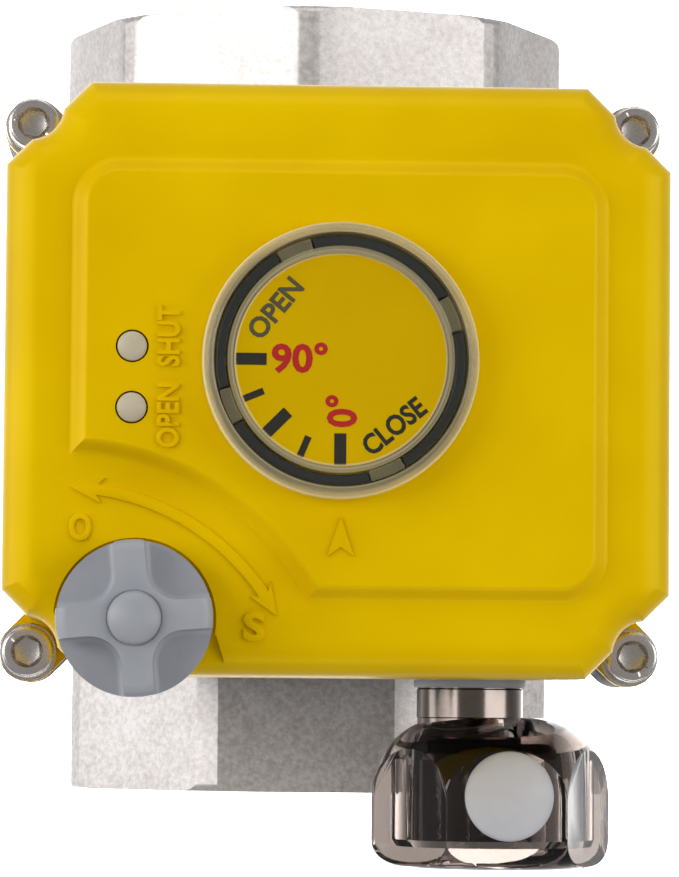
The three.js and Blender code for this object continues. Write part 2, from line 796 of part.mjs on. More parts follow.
function boardGroup() {
  const group = new THREE.Group();
  const { low, top, halfX, back, front, corner } = board;
  const clearOfKnob = knob.shaftRadius + 3;
  const plan = new THREE.Shape([
    new THREE.Vector2(halfX, front + corner),
    new THREE.Vector2(halfX, back - corner),
    new THREE.Vector2(halfX - corner, back),
    new THREE.Vector2(corner - halfX, back),
    new THREE.Vector2(-halfX, back - corner),
    new THREE.Vector2(-halfX, front + corner),
    new THREE.Vector2(corner - halfX, front),
    new THREE.Vector2(halfX - corner, front),
  ]);
  const made = cut(
    prism(plan, low, top),
    disc(shaft.neckRadius + 2, 0, 200, 0, 0, 24),
    disc(clearOfKnob, 0, 200, knobSpot().x, knobSpot().y, 20),
  );
  group.add(mesh("circuit_board", made, finishes.green()));
  group.add(mesh("terminal_block", block(6, 34, -32, -22, top + gap, 109), finishes.black()));
  for (const [name, y] of [["light_shut", lens.shutY], ["light_open", lens.openY]]) {
    const light = mesh(name, disc(1.5, top + gap, lens.low - 1, 0, 0, 12), finishes.clear());
    light.position.set(lens.x, y, 0);
    group.add(light);
  }
  return group;
}

// The manual knob

function knobGroup() {
  const group = new THREE.Group();
  const { radius, low, top, hubRadius, capTop, ribs, shaftRadius, footRadius } = knob;
  const phase = meshPhase(knobDirection, train.idlerWheel, idlerWheelPhase(), train.knobTeeth);
  const shaftTop = top - 1;
  const gear = spurGear(train.knobTeeth, highGears.low - 0.6, highGears.top + 0.6, phase, pinionForm);
  const spindle = join(
    disc(footRadius, housing.floor - 1.5, plate.top + 1, 0, 0, 12),
    disc(shaftRadius, plate.top + 0.5, shaftTop, 0, 0, 12),
    gear,
  );
  const body = turnedZ(
    [
      [0, low],
      [radius - 0.6, low],
      [radius, low + 0.8],
      [radius, top - 2.4],
      [radius - 0.9, top - 0.8],
      [radius - 2.2, top],
      [0, top],
    ],
    28,
  );
  const pockets = [];
  for (let i = 0; i < ribs; i++) {
    const angle = (49.5 + (360 / ribs) * i) * deg;
    const reach = radius * 0.92;
    pockets.push(disc(4.4, low + 4, top + 1, reach * Math.cos(angle), reach * Math.sin(angle), 14));
  }
  const bore = disc(shaftRadius + gap, low - 1, shaftTop + gap, 0, 0, 12);
  const capSeat = disc(hubRadius + gap, top - 0.6, top + 1);
  const dome = turnedZ(
    [
      [0, top - 0.5],
      [hubRadius, top - 0.5],
      [hubRadius, top + 0.6],
      [hubRadius * 0.7, capTop - 0.4],
      [0, capTop],
    ],
    16,
  );
  group.add(mesh("knob_spindle", spindle, finishes.bright()));
  group.add(mesh("manual_knob", cut(body, ...pockets, bore, capSeat), finishes.grey()));
  group.add(mesh("knob_cap", dome, finishes.grey()));
  group.position.set(knobSpot().x, knobSpot().y, 0);
  return group;
}

// The cable entry

function entryGroup() {
  const group = new THREE.Group();
  const wallFace = housing.centreY - housing.halfY + housing.inset;
  const washer = cut(
    barY(entry.washerRadius, entry.washerOuter, wallFace - gap, 0, 0, 24),
    barY(entry.nippleRadius + gap, -60, -30, 0, 0, 24),
  );
  const inner = wallFace + housing.wall;
  const nipple = cut(
    join(
      barY(entry.nippleRadius, entry.nippleEnd, inner + 3.5, 0, 0, 24),
      barY(entry.nippleRadius + 0.15, entry.capBack, entry.washerOuter - gap, 0, 0, 24),
    ),
    barY(entry.nippleRadius - 1.6, entry.capFront, 0, 0, 0, 24),
  );
  const locknut = cut(
    barY(entry.nippleRadius + 2.6, inner + gap, inner + 3, 0, 0, 6),
    barY(entry.nippleRadius + gap, inner - 1, inner + 5, 0, 0, 24),
  );
  group.add(mesh("entry_washer", washer, finishes.white()));
  group.add(mesh("entry_nipple", nipple, finishes.bright()));
  group.add(mesh("entry_locknut", locknut, finishes.bright()));
  group.position.set(entry.x, 0, entry.z);
  return group;
}

// The clear hexagonal cap over the nipple's end, with a plug in its upper flat.
function capGroup() {
  const group = new THREE.Group();
  const cornerRadius = entry.capFlats / 2 / Math.cos(30 * deg);
  const hexagon = new THREE.CylinderGeometry(cornerRadius, cornerRadius, entry.capBack - entry.capFront, 6);
  hexagon.rotateY(30 * deg).translate(0, (entry.capBack + entry.capFront) / 2, 0);
  const { neckRound, endRound } = entry;
  const points = [[0, entry.capFront]];
  const steps = 4;
  for (let i = 0; i <= steps; i++) {
    const angle = (90 * deg * i) / steps;
    const radius = cornerRadius - endRound + endRound * Math.sin(angle);
    points.push([radius, entry.capFront + endRound - endRound * Math.cos(angle)]);
  }
  for (let i = 0; i <= steps; i++) {
    const angle = (75 * deg * i) / steps;
    const radius = cornerRadius - neckRound + neckRound * Math.cos(angle);
    points.push([radius, entry.capBack - neckRound * (Math.sin(75 * deg) - Math.sin(angle))]);
  }
  points.push([0, entry.capBack]);
  const outside = common(toSolid(hexagon), turnedY(points, 28));
  const offset = entry.x - entry.capX;
  const hollow = barY(entry.bore, entry.capFront + 3, entry.capBack - 4);
  const neckX = offset * Math.cos(entry.capTurn);
  const neckZ = offset * Math.sin(entry.capTurn);
  const neck = barY(entry.nippleRadius + looseFit, entry.capBack - 6, entry.capBack + 1, neckX, neckZ);
  const plugHole = disc(4.3, 8, 20, entry.plugX, entry.plugY);
  group.add(mesh("entry_cap", cut(outside, hollow, neck, plugHole), finishes.clear()));
  const seal = barY(entry.sealRadius, entry.sealEnd, entry.nippleEnd - looseFit, 0, 0, 20);
  group.add(mesh("entry_seal", seal, finishes.black()));
  const top = entry.capFlats / 2;
  const plug = turnedZ(
    [
      [0, top - 3.2],
      [4, top - 3.2],
      [4, top + looseFit],
      [entry.plugRadius, top + looseFit],
      [entry.plugRadius, top + 0.9],
      [entry.plugRadius * 0.72, top + 2],
      [0, top + 2.6],
    ],
    20,
  );
  const placed = mesh("transit_plug", plug, finishes.white());
  placed.position.set(entry.plugX, entry.plugY, 0);
  group.add(placed);
  group.position.set(entry.capX, 0, entry.z);
  group.rotation.y = entry.capTurn;
  return group;
}

const actuatorValve = new THREE.Group();
actuatorValve.add(valveGroup(), housingGroup(), windowGroup(), trainGroup(), boardGroup(), knobGroup());
actuatorValve.add(entryGroup(), capGroup());

export default actuatorValve;
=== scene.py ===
import json
import math

import bmesh
import bpy
from mathutils import Matrix, Vector


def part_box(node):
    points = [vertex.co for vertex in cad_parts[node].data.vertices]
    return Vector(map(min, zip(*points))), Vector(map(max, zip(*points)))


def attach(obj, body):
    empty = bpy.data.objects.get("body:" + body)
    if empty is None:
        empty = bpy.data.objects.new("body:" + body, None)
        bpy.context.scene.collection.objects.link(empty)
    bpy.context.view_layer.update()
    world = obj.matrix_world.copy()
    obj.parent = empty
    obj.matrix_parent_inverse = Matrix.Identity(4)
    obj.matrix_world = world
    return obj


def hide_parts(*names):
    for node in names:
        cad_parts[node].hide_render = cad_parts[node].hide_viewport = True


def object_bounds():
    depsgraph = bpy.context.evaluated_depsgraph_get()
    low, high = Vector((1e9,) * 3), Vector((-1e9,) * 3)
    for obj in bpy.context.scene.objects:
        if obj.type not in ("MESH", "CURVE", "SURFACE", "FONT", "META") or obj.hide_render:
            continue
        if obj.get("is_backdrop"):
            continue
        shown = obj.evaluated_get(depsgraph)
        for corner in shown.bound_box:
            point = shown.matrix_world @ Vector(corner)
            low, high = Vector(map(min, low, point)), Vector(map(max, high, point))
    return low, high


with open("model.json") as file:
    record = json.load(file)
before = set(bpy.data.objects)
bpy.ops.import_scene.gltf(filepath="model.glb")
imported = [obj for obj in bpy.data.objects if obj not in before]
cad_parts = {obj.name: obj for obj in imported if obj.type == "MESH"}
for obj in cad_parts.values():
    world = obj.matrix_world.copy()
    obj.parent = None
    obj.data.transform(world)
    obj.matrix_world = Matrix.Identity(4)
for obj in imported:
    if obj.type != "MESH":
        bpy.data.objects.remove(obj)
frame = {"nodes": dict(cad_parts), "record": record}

# Motorized ball valve: the visible shells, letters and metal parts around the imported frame.
# Lengths in the settings are millimetres in the frame's own axes: +Z up the stem, +Y along the pipe.
mm = 0.001
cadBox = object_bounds()
print("frame loaded,", len(frame["nodes"]), "nodes")


class Wire:  # a socket that takes part in sums
    def __init__(self, nodes, socket):
        self.nodes = nodes
        self.socket = socket

    def sum(self, operation, *others):
        return self.nodes.add("ShaderNodeMath", {"operation": operation}, dict(enumerate((self, *others))))

    def __add__(self, other):
        return self.sum("ADD", other)

    def __mul__(self, other):
        return self.sum("MULTIPLY", other)

    def __radd__(self, other):
        return self.sum("ADD", other)

    def __rmul__(self, other):
        return self.sum("MULTIPLY", other)


class Finish:  # one material's node tree, with a Principled shader at its end
    def __init__(self, name):
        self.material = bpy.data.materials.new(name)
        self.material.use_nodes = True
        self.tree = self.material.node_tree
        self.tree.nodes.clear()
        self.shader = self.tree.nodes.new("ShaderNodeBsdfPrincipled")
        self.output = self.tree.nodes.new("ShaderNodeOutputMaterial")
        self.tree.links.new(self.shader.outputs[0], self.output.inputs[0])

    def add(self, kind, settings=None, inputs=None, out=0):
        node = self.tree.nodes.new(kind)
        for key, value in (settings or {}).items():
            if key == "stops":
                for stop, (place, shade) in zip(self.stopsOf(node, len(value)), value):
                    stop.position = place
                    stop.color = shade
            else:
                setattr(node, key, value)
        for key, value in (inputs or {}).items():
            self.feed(node.inputs[key], value)
        return Wire(self, node.outputs[out])

    def stopsOf(self, node, count):
        elements = node.color_ramp.elements
        while len(elements) < count:
            elements.new(1.0)
        return elements

    def feed(self, socket, value):
        if isinstance(value, Wire):
            self.tree.links.new(value.socket, socket)
        else:
            socket.default_value = value

    def set(self, **values):
        for key, value in values.items():
            self.feed(self.shader.inputs[key.replace("_", " ")], value)

    # noise from 0 to 1, with lumps about size millimetres across
    def noise(self, size, detail=3.0, rough=0.55, stretch=(1, 1, 1)):
        spot = self.add("ShaderNodeTexCoord", out=3)
        scale = tuple(1000.0 / size * s for s in stretch)
        at = self.add("ShaderNodeMapping", {}, {"Vector": spot, "Scale": scale})
        inputs = {"Vector": at, "Scale": 1.0, "Detail": detail, "Roughness": rough}
        return self.add("ShaderNodeTexNoise", {}, inputs)

    def blend(self, factor, first, second):
        return self.add("ShaderNodeMix", {"data_type": "RGBA"}, {0: factor, 6: first, 7: second}, out=2)

    def ramp(self, value, stops):
        return self.add("ShaderNodeValToRGB", {"stops": [(p, (v, v, v, 1)) for p, v in stops]}, {0: value})

    # a height from 0 to 1 that stands for distance millimetres
    def bump(self, height, distance):
        return self.add("ShaderNodeBump", {}, {"Distance": distance * mm, "Height": height})


# An sRGB colour, 0 to 255, as linear values.
def color(r, g, b):
    def linear(v):
        v = v / 255
        return v / 12.92 if v <= 0.04045 else ((v + 0.055) / 1.055) ** 2.4
    return (linear(r), linear(g), linear(b), 1.0)


def glossyYellow(name="glossyYellow", deep=color(224, 181, 0), light=color(234, 194, 0), rough=0.3):
    m = Finish(name)
    cloud = m.noise(22, 2.0)
    grain = m.noise(0.35, 2.0)
    peel = m.noise(1.6, 1.0)
    m.set(Base_Color=m.blend(m.ramp(cloud, [(0.3, 0), (0.7, 1)]), deep, light), IOR=1.5)
    m.set(Roughness=rough + 0.05 * grain, Specular_IOR_Level=0.35, Specular_Tint=(1, 0.8, 0.05, 1))
    m.set(Normal=m.bump(0.7 * peel + 0.3 * grain, 0.012))
    return m.material


def satinGrey(name="satinGrey"):
    m = Finish(name)
    cloud = m.noise(5, 3.0)
    grain = m.noise(0.25, 2.0)
    m.set(Base_Color=m.blend(cloud, color(152, 155, 162), color(166, 168, 174)), IOR=1.48)
    m.set(Roughness=0.38 + 0.12 * grain, Normal=m.bump(grain, 0.01))
    m.set(Subsurface_Weight=0.04, Subsurface_Radius=(0.002, 0.002, 0.002))
    return m.material


def frostedWhite(name="frostedWhite", tint=color(196, 196, 200), pale=color(208, 208, 212)):
    m = Finish(name)
    cloud = m.noise(3, 2.0)
    grain = m.noise(0.2, 2.0)
    m.set(Base_Color=m.blend(cloud, tint, pale), Roughness=0.42 + 0.15 * grain)
    m.set(Normal=m.bump(grain, 0.008), Subsurface_Weight=0.15, Subsurface_Radius=(0.001, 0.001, 0.001))
    return m.material


def blastedSteel(name="blastedSteel"):
    m = Finish(name)
    cloud = m.noise(9, 4.0, 0.65)
    fleck = m.noise(0.9, 4.0, 0.7)
    pits = m.noise(0.35, 2.0)
    shade = m.ramp(0.3 * cloud + 0.7 * fleck, [(0.38, 0), (0.6, 1)])
    m.set(Base_Color=m.blend(shade, color(196, 188, 184), color(228, 224, 222)), Metallic=0.8)
    m.set(Roughness=0.4 + 0.16 * fleck, Normal=m.bump(0.6 * pits + 0.4 * fleck, 0.035))
    return m.material


def polishedSteel(name="polishedSteel", rough=0.16, tint=color(206, 200, 198), pale=color(222, 218, 216)):
    m = Finish(name)
    cloud = m.noise(4, 3.0)
    scratch = m.noise(0.5, 3.0, 0.6, (1, 1, 6))
    m.set(Base_Color=m.blend(cloud, tint, pale), Metallic=1.0)
    m.set(Roughness=rough + 0.1 * scratch, Normal=m.bump(scratch, 0.004))
    return m.material


def turnedSteel(name="turnedSteel"):
    m = Finish(name)
    cloud = m.noise(3, 3.0)
    lines = m.noise(0.4, 2.0, 0.6, (0.2, 0.2, 8))
    m.set(Base_Color=m.blend(cloud, color(150, 148, 146), color(176, 174, 172)), Metallic=1.0)
    m.set(Roughness=0.3 + 0.14 * lines, Normal=m.bump(lines, 0.006))
    return m.material


def texturedDark(name="texturedDark", low=color(44, 46, 49), high=color(58, 60, 64), rough=0.5):
    m = Finish(name)
    spark = m.noise(0.6, 3.0, 0.6)
    cloud = m.noise(12, 2.0)
    m.set(Base_Color=m.blend(cloud, low, high), Roughness=rough + 0.14 * spark, Normal=m.bump(spark, 0.04))
    return m.material


def printedInk(name, low, high):
    m = Finish(name)
    cloud = m.noise(0.5, 3.0)
    m.set(Base_Color=m.blend(cloud, low, high), Roughness=0.45 + 0.1 * cloud, Normal=m.bump(cloud, 0.006))
    return m.material


def warmBrass(name="warmBrass"):
    m = Finish(name)
    cloud = m.noise(2, 3.0)
    m.set(Base_Color=m.blend(cloud, color(178, 140, 70), color(200, 164, 92)), Metallic=1.0)
    m.set(Roughness=0.28 + 0.14 * cloud, Normal=m.bump(cloud, 0.004))
    return m.material


def naturalNylon(name="naturalNylon"):
    m = Finish(name)
    cloud = m.noise(2.5, 3.0)
    m.set(Base_Color=m.blend(cloud, color(226, 221, 206), color(238, 235, 224)))
    m.set(Roughness=0.42 + 0.12 * cloud)
    m.set(Normal=m.bump(cloud, 0.006), Subsurface_Weight=0.1, Subsurface_Radius=(0.001, 0.001, 0.001))
    return m.material


def greenBoard(name="greenBoard"):
    m = Finish(name)
    weave = m.noise(0.8, 2.0, 0.5)
    tracks = m.ramp(m.noise(2.2, 1.0, 0.4, (3, 0.6, 1)), [(0.5, 0), (0.52, 1)])
    m.set(Base_Color=m.blend(tracks, color(20, 78, 46), color(28, 104, 60)), Roughness=0.35 + 0.1 * weave)
    m.set(Normal=m.bump(tracks, 0.02))
    return m.material


# Thin clear plastic, open where it is seen squarely and pale towards its edges. The rim list holds pairs of a
# radius in millimetres and a
# paleness: painted highlights, rings of painted light over the walls that stand under a round top. The
# cream-yellow base is painted light too.
def clearPlastic(name, veil=0.0, rimHighlights=()):
    m = Finish(name)
    grain = m.noise(1.2, 2.0)
    # painted light: the cream-yellow base colour stands for the yellow cover seen through the plastic
    m.set(Base_Color=m.blend(grain, (1.0, 0.86, 0.5, 1), (1.0, 0.92, 0.62, 1)), Roughness=0.04 + 0.05 * grain)
    m.set(Normal=m.bump(grain, 0.004))
    facing = m.add("ShaderNodeLayerWeight", {}, {"Blend": 0.5}, out=1)
    pale = m.ramp(facing, [(0.0, veil), (0.45, 0.03 + veil), (0.8, 0.16 + veil / 2), (1.0, 0.7)])
    if rimHighlights:
        widest = 20.0  # millimetres from the axis where the ramp ends
        spot = m.add("ShaderNodeTexCoord", out=3)
        flat = m.add("ShaderNodeVectorMath", {"operation": "MULTIPLY"}, {0: spot, 1: (1, 1, 0)})
        reach = m.add("ShaderNodeVectorMath", {"operation": "LENGTH"}, {0: flat}, out=1)
        # painted highlights: pale rings at the listed radii over the walls under the top
        ring = m.ramp(reach * (1000 / widest), [(radius / widest, value) for radius, value in rimHighlights])
        pale = pale.sum("MAXIMUM", ring)
    clear = m.add("ShaderNodeBsdfTransparent", {}, {0: (0.98, 0.98, 0.97, 1)})
    solid = Wire(m, m.shader.outputs[0])
    m.feed(m.output.inputs[0], m.add("ShaderNodeMixShader", {}, {0: pale, 1: clear, 2: solid}))
    return m.material


# Thick clear plastic that bends the light through it.
def castClear(name="castClear"):
    m = Finish(name)
    grain = m.noise(2.0, 2.0)
    m.set(Base_Color=m.blend(grain, (0.27, 0.22, 0.195, 1), (0.33, 0.275, 0.245, 1)), Transmission_Weight=1.0)
    m.set(Roughness=0.01 + 0.03 * grain, IOR=1.49, Normal=m.bump(grain, 0.01))
    return m.material


yellow = glossyYellow()
dialYellow = glossyYellow("dialYellow", color(214, 172, 0), color(222, 182, 0), 0.5)
grey = satinGrey()
white = frostedWhite()
paleLens = frostedWhite("paleLens", color(186, 174, 148), color(200, 188, 164))
steel = blastedSteel()
bright = polishedSteel()
screwSteel = polishedSteel("screwSteel", 0.22, color(214, 207, 202), color(230, 224, 220))
neckSteel = polishedSteel("neckSteel", 0.12, color(122, 112, 106), color(140, 130, 124))
machined = turnedSteel()
dark = texturedDark()
black = texturedDark("blackRing", color(34, 38, 38), color(44, 48, 48), 0.35)
rubber = texturedDark("softRubber", color(24, 24, 25), color(32, 32, 33), 0.7)
blackInk = printedInk("blackInk", color(28, 27, 22), color(40, 38, 30))
greyInk = printedInk("greyInk", color(74, 70, 44), color(90, 86, 58))
redInk = printedInk("redInk", color(176, 16, 18), color(196, 24, 24))
brass = warmBrass()
nylon = naturalNylon()
board = greenBoard()
# radius in millimetres and paleness of the painted highlights over the lens walls
windowRimHighlights = ((13.9, 0.0), (14.1, 0.22), (14.3, 0.05), (14.6, 0.28), (14.8, 0.1), (15.0, 0.2), (15.15, 0.0),
              (16.9, 0.0), (17.05, 0.3), (17.3, 0.18), (18.1, 0.26), (18.4, 0.8))
windowClear = clearPlastic("windowClear", 0.0, windowRimHighlights)
lightClear = clearPlastic("lightClear")
lugClear = clearPlastic("lugClear", 0.13)
brownRubber = texturedDark("brownRubber", color(46, 34, 29), color(60, 46, 40), 0.35)
capClear = castClear()

slotMaterials = {
    "valve_steel": steel,
    "bright_steel": bright,
    "machined_steel": machined,
    "yellow_plastic": yellow,
    "grey_plastic": grey,
    "dark_plastic": dark,
    "black_plastic": black,
    "white_plastic": white,
    "nylon": nylon,
    "clear_plastic": lightClear,
    "smoky_plastic": capClear,
    "rubber": rubber,
    "brass": brass,
    "board": board,
}
nodeSlots = {row["node"]: row["material_slot"] for row in frame["record"]["subparts"]}
for nodeName, node in frame["nodes"].items():
    node.data.materials.clear()
    node.data.materials.append(slotMaterials[nodeSlots[nodeName]])
bodyOf = {name: body for body, names in frame["record"]["behaviour"]["bodies"].items() for name in names}
print("materials made")


# The low and high corners of a CAD node's box, in millimetres.
def corners(node):
    return [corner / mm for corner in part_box(node)]


# Spins [radius, height] points about the axis through centre. Closed if its ends are on the axis or meet.
def turn(points, steps=72, centre=(0, 0, 0), axis=(0, 0, 1), across=(1, 0, 0)):
    bm = bmesh.new()
    up = Vector(axis)
    out = Vector(across)
    verts = [bm.verts.new(Vector(centre) + out * r + up * h) for r, h in points]
    for a, b in zip(verts, verts[1:]):
        bm.edges.new((a, b))
    bmesh.ops.spin(bm, geom=bm.verts[:] + bm.edges[:], cent=centre, axis=up, angle=2 * math.pi,
                   steps=steps, use_merge=True)
    bmesh.ops.remove_doubles(bm, verts=bm.verts, dist=1e-4)
    bmesh.ops.recalc_face_normals(bm, faces=bm.faces)
    return bm


# Extrudes a flat face along a vector.
def extruded(points, reach):
    bm = bmesh.new()
    face = bm.faces.new([bm.verts.new(point) for point in points])
    raised = bmesh.ops.extrude_face_region(bm, geom=[face])["geom"]
    bmesh.ops.translate(bm, vec=reach, verts=[v for v in raised if isinstance(v, bmesh.types.BMVert)])
    bmesh.ops.recalc_face_normals(bm, faces=bm.faces)
    return bm


# A flat outline of [x, y] points standing from low to top.
def slab(outline, low, top):
    return extruded([(x, y, low) for x, y in outline], (0, 0, top - low))


# An outline of [x, z] points running along Y.
def prismY(outline, start, end):
    return extruded([(x, start, z) for x, z in outline], (0, end - start, 0))


# A closed solid through outlines of equal length, each an (outline, height) pair, lowest first.
def stacked(rings):
    bm = bmesh.new()
    loops = [[bm.verts.new((x, y, z)) for x, y in outline] for outline, z in rings]
    for loop in loops:
        for a, b in zip(loop, loop[1:] + loop[:1]):
            bm.edges.new((a, b))
    for low, high in zip(loops, loops[1:]):
        bmesh.ops.bridge_loops(bm, edges=[e for e in bm.edges if set(e.verts) <= set(low)
                                          or set(e.verts) <= set(high)])
    bm.faces.new(loops[0])
    bm.faces.new(loops[-1])
    bmesh.ops.recalc_face_normals(bm, faces=bm.faces)
    return bm


# Points of a rounded upper rim, from its side up to its top.
def rimPoints(radius, top, rounding, steps=6):
    turns = [math.radians(90 * i / steps) for i in range(steps + 1)]
    inner, shoulder = radius - rounding, top - rounding
    return [(inner + rounding * math.cos(t), shoulder + rounding * math.sin(t)) for t in turns]


# Points of a low dome, from its foot to its middle.
def domePoints(radius, top, rise, steps=9):
    turns = [math.radians(90 * i / steps) for i in range(steps)]
    return [(radius * math.cos(t), top - rise + rise * math.sin(t)) for t in turns] + [(0, top)]


# Rises from low with its upper rim rounded inwards; outlineAt gives the outline at an inset.
def roundedStack(outlineAt, low, shoulder, top, steps):
    rings = [(outlineAt(0), low)]
    for inwards, height in rimPoints(0, top, top - shoulder, steps):
        rings.append((outlineAt(-inwards), height))
    return stacked(rings)


# Points on an arc, angles in degrees.
def arc(x, y, radius, start, end, steps):
    turns = (math.radians(start + (end - start) * i / steps) for i in range(steps + 1))
    return [(x + radius * math.cos(t), y + radius * math.sin(t)) for t in turns]


# Bevels every edge sharper than that many degrees.
def softEdges(bm, width, segments=3, above=30.0):
    limit = math.radians(above)
    edges = [e for e in bm.edges if len(e.link_faces) == 2 and e.calc_face_angle(0) > limit]
    bmesh.ops.bevel(bm, geom=edges, offset=width, offset_type="OFFSET", affect="EDGES", segments=segments,
                    profile=0.5, material=-1, clamp_overlap=True)
    return bm


# Joins or cuts closed shapes: UNION, DIFFERENCE or INTERSECT.
def merged(operation, first, *others):
    scene = bpy.context.scene
    made = []
    for bm in (first, *others):
        mesh = bpy.data.meshes.new("work")
        bm.to_mesh(mesh)
        bm.free()
        made.append(bpy.data.objects.new("work", mesh))
        scene.collection.objects.link(made[-1])
    for tool in made[1:]:
        step = made[0].modifiers.new("step", "BOOLEAN")
        step.operation = operation
        step.solver = "MANIFOLD"
        step.object = tool
    result = bmesh.new()
    result.from_object(made[0], bpy.context.evaluated_depsgraph_get())
    for thing in made:
        mesh = thing.data
        bpy.data.objects.remove(thing)
        bpy.data.meshes.remove(mesh)
    bmesh.ops.triangulate(result, faces=[f for f in result.faces if len(f.verts) > 4])
    return result


# Puts a finished bmesh in the scene, in metres, riding on its body.
def piece(bm, name, material, body, nodes=(), slotName=None, sharp=32.0, weighted=False):
    bmesh.ops.scale(bm, vec=(mm, mm, mm), verts=bm.verts)
    limit = math.radians(sharp)
    for face in bm.faces:
        face.smooth = True
    for edge in bm.edges:
        edge.smooth = len(edge.link_faces) == 2 and edge.calc_face_angle(0) < limit
    mesh = bpy.data.meshes.new(name)
    bm.to_mesh(mesh)
    bm.free()
    mesh.materials.append(material)
    made = bpy.data.objects.new(name, mesh)
    bpy.context.scene.collection.objects.link(made)
    if weighted:
        fix = made.modifiers.new("flats", "WEIGHTED_NORMAL")
        fix.keep_sharp = True
        fix.weight = 80
    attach(made, body)
    if nodes:
        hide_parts(*nodes)
    return made


# A finished bmesh in place of one CAD node, on that node's body.
def standIn(bm, node, material, **more):
    return piece(bm, node + "_skin", material, bodyOf[node], (node,), nodeSlots[node], **more)


def spun(bm, angle, centre=(0, 0, 0), axis="Z"):
    bmesh.ops.rotate(bm, cent=centre, matrix=Matrix.Rotation(math.radians(angle), 3, axis), verts=bm.verts)
    return bm


def moved(bm, x, y, z):
    bmesh.ops.translate(bm, vec=(x, y, z), verts=bm.verts)
    return bm


# One line of text, centred, lying flat with its underside at 0.
def lettering(text, height, length, rise, bold):
    curve = bpy.data.curves.new("text", "FONT")
    curve.body = text
    curve.align_x = "CENTER"
    curve.size = 1.0
    curve.resolution_u = 3
    curve.offset = bold
    holder = bpy.data.objects.new("text", curve)
    bpy.context.scene.collection.objects.link(holder)
    mesh = bpy.data.meshes.new_from_object(holder.evaluated_get(bpy.context.evaluated_depsgraph_get()))
    bpy.data.objects.remove(holder)
    bm = bmesh.new()
    bm.from_mesh(mesh)
    bpy.data.meshes.remove(mesh)
    bmesh.ops.remove_doubles(bm, verts=bm.verts, dist=1e-5)
    xs = [v.co.x for v in bm.verts]
    ys = [v.co.y for v in bm.verts]
    bmesh.ops.translate(bm, vec=(-(max(xs) + min(xs)) / 2, -(max(ys) + min(ys)) / 2, 0), verts=bm.verts)
    scale = (length / (max(xs) - min(xs)), height / (max(ys) - min(ys)), 1)
    bmesh.ops.scale(bm, vec=scale, verts=bm.verts)
    bmesh.ops.recalc_face_normals(bm, faces=bm.faces)
    raised = bmesh.ops.extrude_face_region(bm, geom=bm.faces[:])["geom"]
    bmesh.ops.translate(bm, vec=(0, 0, rise), verts=[v for v in raised if isinstance(v, bmesh.types.BMVert)])
    bmesh.ops.recalc_face_normals(bm, faces=bm.faces)
    return bm


view = {
    "eye": (-23.4, -46.1, 715.0),
    "aim": (0.6, -9.4, 100.0),
    "lens": 184.75,
    "roll": 0.5,
}


def addCamera():
    data = bpy.data.cameras.new("camera")
    data.lens = view["lens"]
    data.sensor_width = 36.0
    data.clip_start = 0.01
    data.clip_end = 20.0
    camera = bpy.data.objects.new("camera", data)
    bpy.context.scene.collection.objects.link(camera)
    bpy.context.scene.camera = camera
    eye = Vector(view["eye"]) * mm
    back = (eye - Vector(view["aim"]) * mm).normalized()
    right = Vector((0, 1, 0)).cross(back).normalized()
    up = back.cross(right)
    basis = Matrix((right, up, back)).transposed().to_4x4()
    roll = Matrix.Rotation(math.radians(view["roll"]), 4, "Z")
    camera.matrix_world = Matrix.Translation(eye) @ basis @ roll


lights = {
    "left": {"spot": (-0.62, 0.12, 0.5), "aim": 0.1, "size": (0.35, 0.8), "power": 3.5},
    "leftLow": {"spot": (-0.8, -0.1, 0.02), "aim": 0.0, "size": (0.5, 0.25), "power": 0.9},
    "right": {"spot": (0.62, 0.05, 0.5), "aim": 0.1, "size": (0.35, 0.7), "power": 2.5},
    "back": {"spot": (0.0, 0.9, 0.5), "aim": 0.1, "size": (1.0, 0.5), "power": 2.6},
    "front": {"spot": (0.1, -0.8, 0.45), "aim": 0.1, "size": (0.8, 0.25), "power": 1.3},
    "under": {"spot": (0.0, 0.0, -0.12), "aim": -1.0, "size": (0.05, 0.05), "power": 9.0},
}


def addLights():
    for name, spec in lights.items():
        data = bpy.data.lights.new(name, "AREA")
        data.shape = "RECTANGLE"
        data.size, data.size_y = spec["size"]
        data.energy = spec["power"]
        lamp = bpy.data.objects.new(name, data)
        lamp.location = spec["spot"]
        aim = Vector((0, 0, spec["aim"])) - Vector(spec["spot"])
        lamp.rotation_euler = aim.to_track_quat("-Z", "Y").to_euler()
        bpy.context.scene.collection.objects.link(lamp)
    world = bpy.data.worlds.new("studio")
    world.use_nodes = True
    world.node_tree.nodes["Background"].inputs[0].default_value = (1.0, 1.0, 1.0, 1.0)
    world.node_tree.nodes["Background"].inputs[1].default_value = 0.26
    bpy.context.scene.world = world
    bpy.context.scene.view_settings.view_transform = "Standard"


def addFloor():
    bm = bmesh.new()
    bmesh.ops.create_grid(bm, x_segments=1, y_segments=1, size=6.0)
    bmesh.ops.translate(bm, vec=(0, 0, -0.6), verts=bm.verts)
    mesh = bpy.data.meshes.new("floor")
    bm.to_mesh(mesh)
    bm.free()
    m = Finish("paleFloor")
    cloud = m.noise(60, 2.0)
    m.set(Base_Color=m.blend(cloud, (0.93, 0.93, 0.93, 1), (0.95, 0.95, 0.95, 1)), Roughness=0.8)
    mesh.materials.append(m.material)
    floor = bpy.data.objects.new("floor", mesh)
    bpy.context.scene.collection.objects.link(floor)
    floor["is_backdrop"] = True


addCamera()
addLights()
addFloor()
print("camera, light and floor placed")


